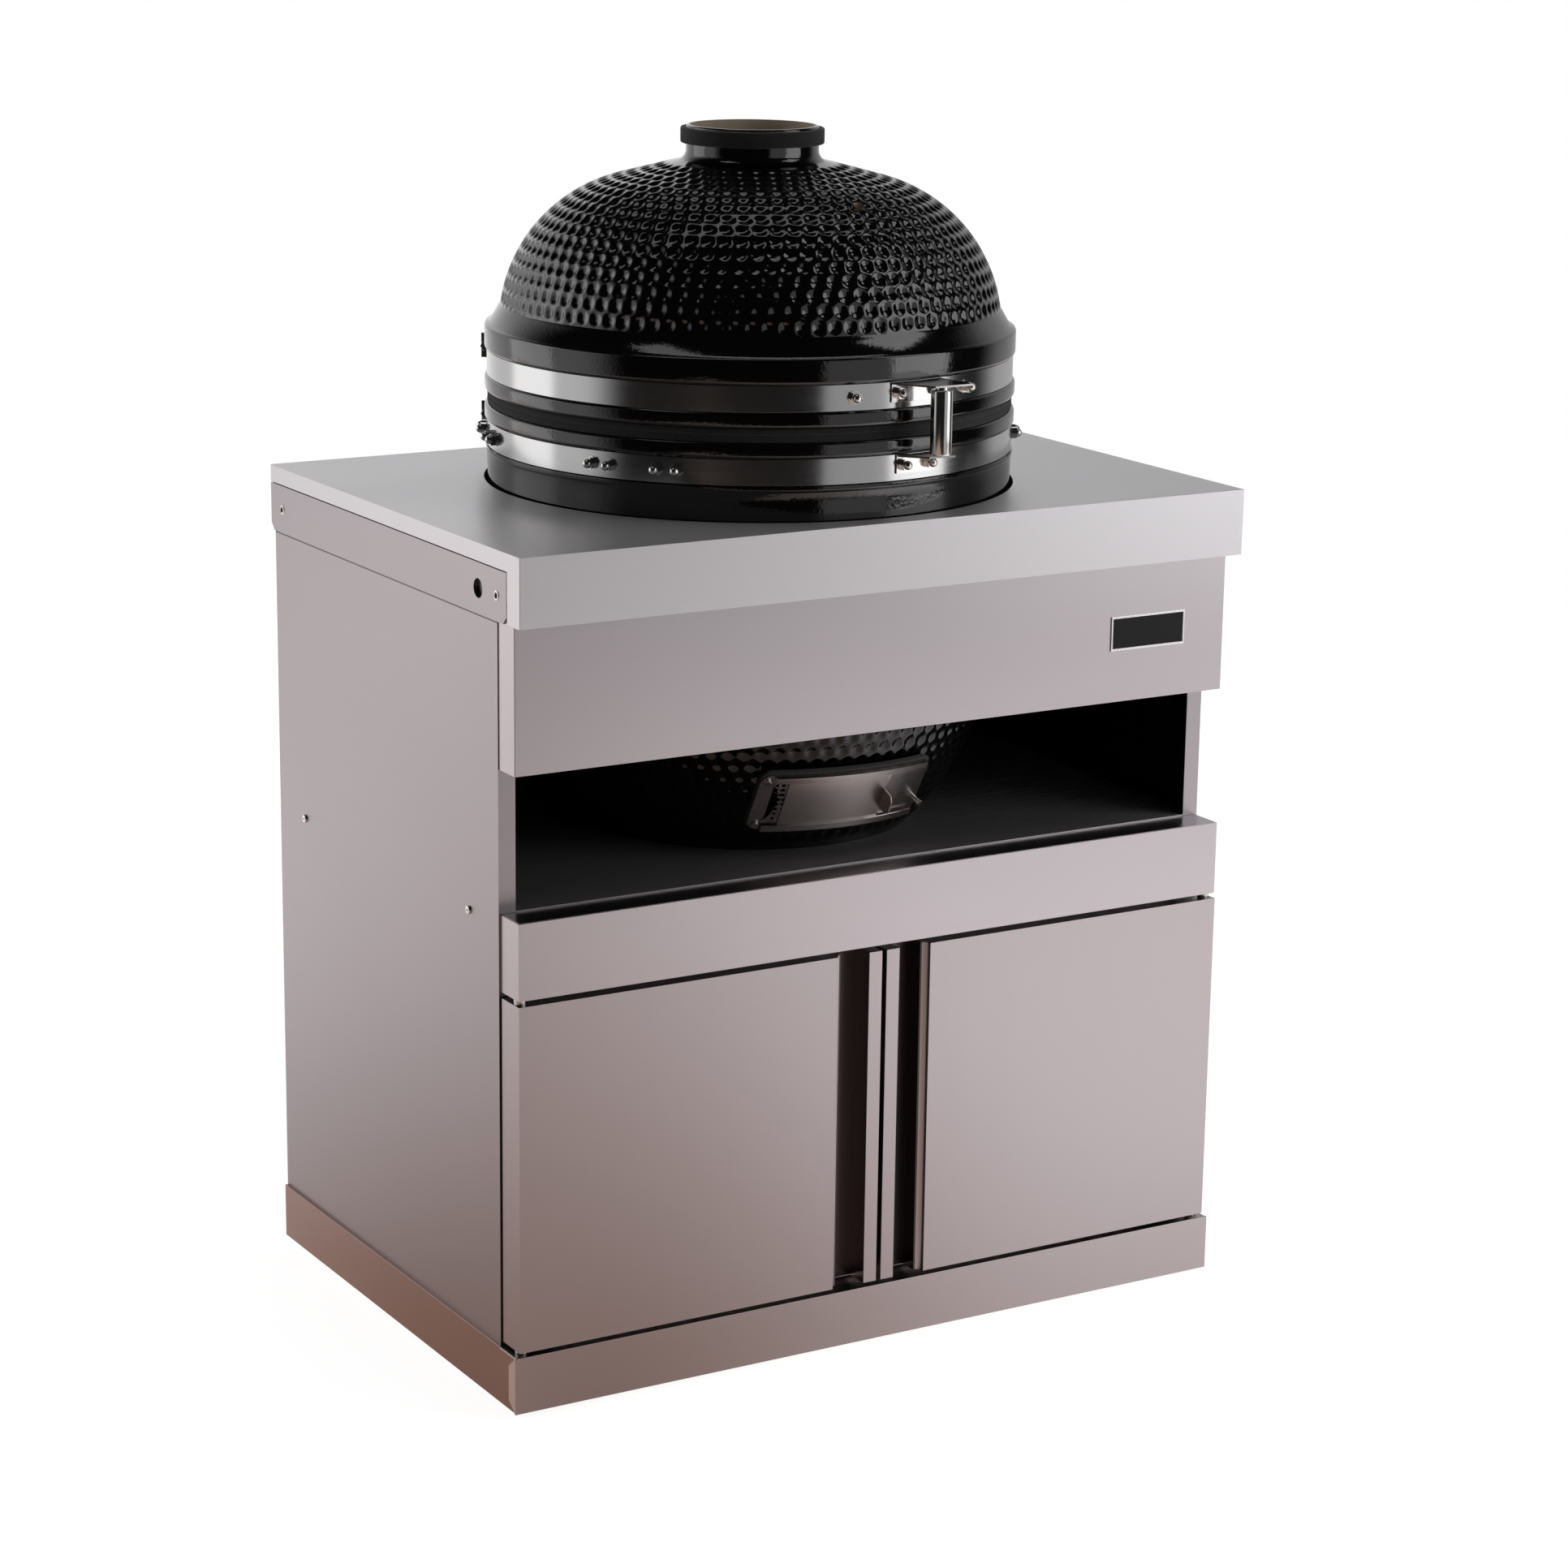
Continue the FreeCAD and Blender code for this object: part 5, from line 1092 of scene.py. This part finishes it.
screws = Recipe("set_round_head_screws", {"Screw": "Object", "Finish": "Material"})
screws.served(screws.set_out(screws.asked("Shape"), screws.form_of("Screw")))


def turned_fastener(name, line, columns):
    """A small turned piece in metres, along z from its seat, from a line in millimetres."""
    return turned_mesh(name, line, columns, [fastener_steel], place=Matrix.Scale(MILLIMETRE, 4))


def pan_head():
    """A pan head with a cross recess."""
    line = [(4.6, 0.0)]
    for angle in np.radians((0, 30, 60, 90)):
        line.append((4.6 - 0.7 * (1 - math.cos(angle)), 1.0 + 1.3 * math.sin(angle)))
    for radius in np.arange(3.4, 0.1, -0.3):
        line.append((radius, 2.5 - 0.012 * radius ** 2))
    mesh = turned_fastener("pan_head", line, 48)
    for corner in mesh.vertices:
        across, along, up = corner.co
        in_arm = min(abs(across), abs(along)) < 0.00045 and math.hypot(across, along) < 0.0023
        if in_arm and up > 0.002:
            corner.co.z = up - 0.0011
    return mesh


def screws_in(node, form, face, depths, height):
    """The same fastener at these depths in both sides of the cabinet."""
    spots = [(side, depth) for side in (-1, 1) for depth in depths]
    points = aimed_points(node + "_points", [(side * face, depth, height) for side, depth in spots],
                          [(side, 0, 0) for side, _ in spots])
    standing_for(screws.worked(points, {"Screw": lend(form), "Finish": fastener_steel}), node, 40)


rivet_nut = turned_fastener("rivet_nut", [(0.01, -3.0), (3.1, -3.0), (3.1, 0.4), (3.5, 0.8),
                                          (4.8, 0.8), (5.3, 0.5), (5.5, 0.0)], 32)
worktop_low, worktop_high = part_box("worktop")
plate_depths = (worktop_low[1] + 0.051, worktop_high[1] - 0.031)
panel_depths = (post_front + 0.069, worktop_high[1] - 0.0715)
screws_in("side_plate_screws", rivet_nut, plate_high[0], plate_depths, plate_middle)
screws_in("shelf_screws", pan_head(), panel_outside, panel_depths, NICHE_FLOOR - 0.0135)

# Floor, light and camera.
# A pale floor that keeps the soft shadow, three upright soft boxes, two lamps overhead, and the
# photograph's viewing angle.

floor = Finish("pale_floor")
ray = floor.add("ShaderNodeLightPath")
floor_x, floor_y, _ = floor.place.parts()


def pool(centre, near, far):
    """1 round a spot on the floor, and less and less between these distances from it."""
    away = ((floor_x - centre[0]) ** 2 + (floor_y - centre[1]) ** 2) ** 0.5
    return 1 - away.smooth(near, far)


# Metal mirrors a warm floor with painted light pools under the soft boxes, and painted light makes
# its right side lighter.
mirrored = ray.other("Is Glossy Ray") + ray.other("Is Transmission Ray")
painted_right_light = (floor_x * 0.866 + floor_y * 0.5).smooth(-0.5, 0.15)
painted_floor_light = pool((-1.9, 1.7), 0.6, 2.5) * 0.6 + pool((2.1, -1.9), 0.4, 2.8) + painted_right_light * 0.6
warm_floor_painted_light = floor.blend(painted_floor_light, (0.42, 0.27, 0.21), (1.35, 1.29, 1.3))
far_away = (floor_x * floor_x + floor_y * floor_y).smooth(1.0, 7.0)
# Through the gaps of the plinth the camera sees the shaded floor under the cabinet.
under = (1 - abs(floor_x).smooth(0.36, 0.42)) * (1 - abs(floor_y).smooth(0.20, 0.26))
seen = ray.other("Is Camera Ray") * (far_away * 0.12 + 0.88) * (1 - under)
lit = floor.add("ShaderNodeBsdfDiffuse", sockets={"Color": (0.80, 0.79, 0.78)})
glow = floor.add("ShaderNodeEmission", sockets={
    "Color": floor.blend(mirrored, (1.0, 1.0, 1.0), warm_floor_painted_light), "Strength": seen + mirrored * 0.82})
both = floor.add("ShaderNodeAddShader", sockets={0: lit, 1: glow})
floor.add("ShaderNodeOutputMaterial", sockets={"Surface": both})
floor_corners = [(-3.4, -3.0, 0), (3.4, -3.0, 0), (3.4, 5, 0), (-3.4, 5, 0)]
placed("floor", mesh_of("floor", floor_corners, [(0, 1, 2, 3)], [floor.material]))

world = bpy.data.worlds.new("studio")
bpy.context.scene.world = world
world.use_nodes = True
world.node_tree.nodes.clear()
room = Bench(world.node_tree)
way_x, way_y, way_z = room.add("ShaderNodeTexCoord", output="Generated").parts()
# The camera sees white. The object sees a white wall behind it, and a dim room in front.
wall = way_y.smooth(-0.1, 0.3) * (1 - way_z.smooth(0.30, 0.65))
level = wall * (way_x.smooth(-0.2, 0.3) * 0.25 + 0.75 - way_x.smooth(0.4, 0.7) * 0.5) + 0.012
camera_ray = room.add("ShaderNodeLightPath", output="Is Camera Ray")
sky = room.add("ShaderNodeBackground", sockets={
    "Color": (1.0, 1.0, 1.0), "Strength": level + (1 - level) * camera_ray})
room.add("ShaderNodeOutputWorld", sockets={"Surface": sky})


def soft_box(name, spot, target, width, height, radiance):
    """A rectangular lamp of even brightness, turned to a target."""
    light = bpy.data.lights.new(name, "AREA")
    light.shape = "RECTANGLE"
    light.size = width
    light.size_y = height
    light.energy = radiance * math.pi * width * height
    lamp = placed(name, light)
    lamp.location = spot
    lamp.rotation_euler = (Vector(target) - Vector(spot)).to_track_quat("-Z", "Y").to_euler()


soft_box("soft_box_right", (2.12, -2.12, 1.45), (0, 0, 1.3), 1.6, 2.2, 1.9)
soft_box("soft_box_front", (0.78, -2.9, 1.3), (0, 0, 1.2), 1.6, 2.4, 0.46)
soft_box("soft_box_left", (-2.12, 2.12, 1.3), (0, 0, 1.2), 1.6, 2.4, 0.8)
soft_box("soft_box_over", (0.0, 0.2, 3.4), (0, 0, 0.6), 2.8, 0.6, 0.9)
soft_box("soft_box_edges", (1.8, -1.3, 3.3), (0, 0, 0.5), 1.2, 1.0, 1.6)

lens = bpy.data.cameras.new("camera")
lens.lens = 89.9
lens.sensor_width = 36.0
camera = placed("camera", lens)
camera_spot = (-2.1552, -3.7240, 1.6616)
azimuth, elevation, roll = (math.radians(angle) for angle in (-30.672, 14.251, 0.790))
camera_view = Matrix.Translation(camera_spot)
for angle, axis in ((azimuth, "Z"), (math.pi / 2 - elevation, "X"), (roll, "Z")):
    camera_view = camera_view @ Matrix.Rotation(angle, 4, axis)
camera.matrix_world = camera_view
bpy.context.scene.camera = camera
bpy.context.scene.view_settings.view_transform = "Standard"

bpy.context.view_layer.update()
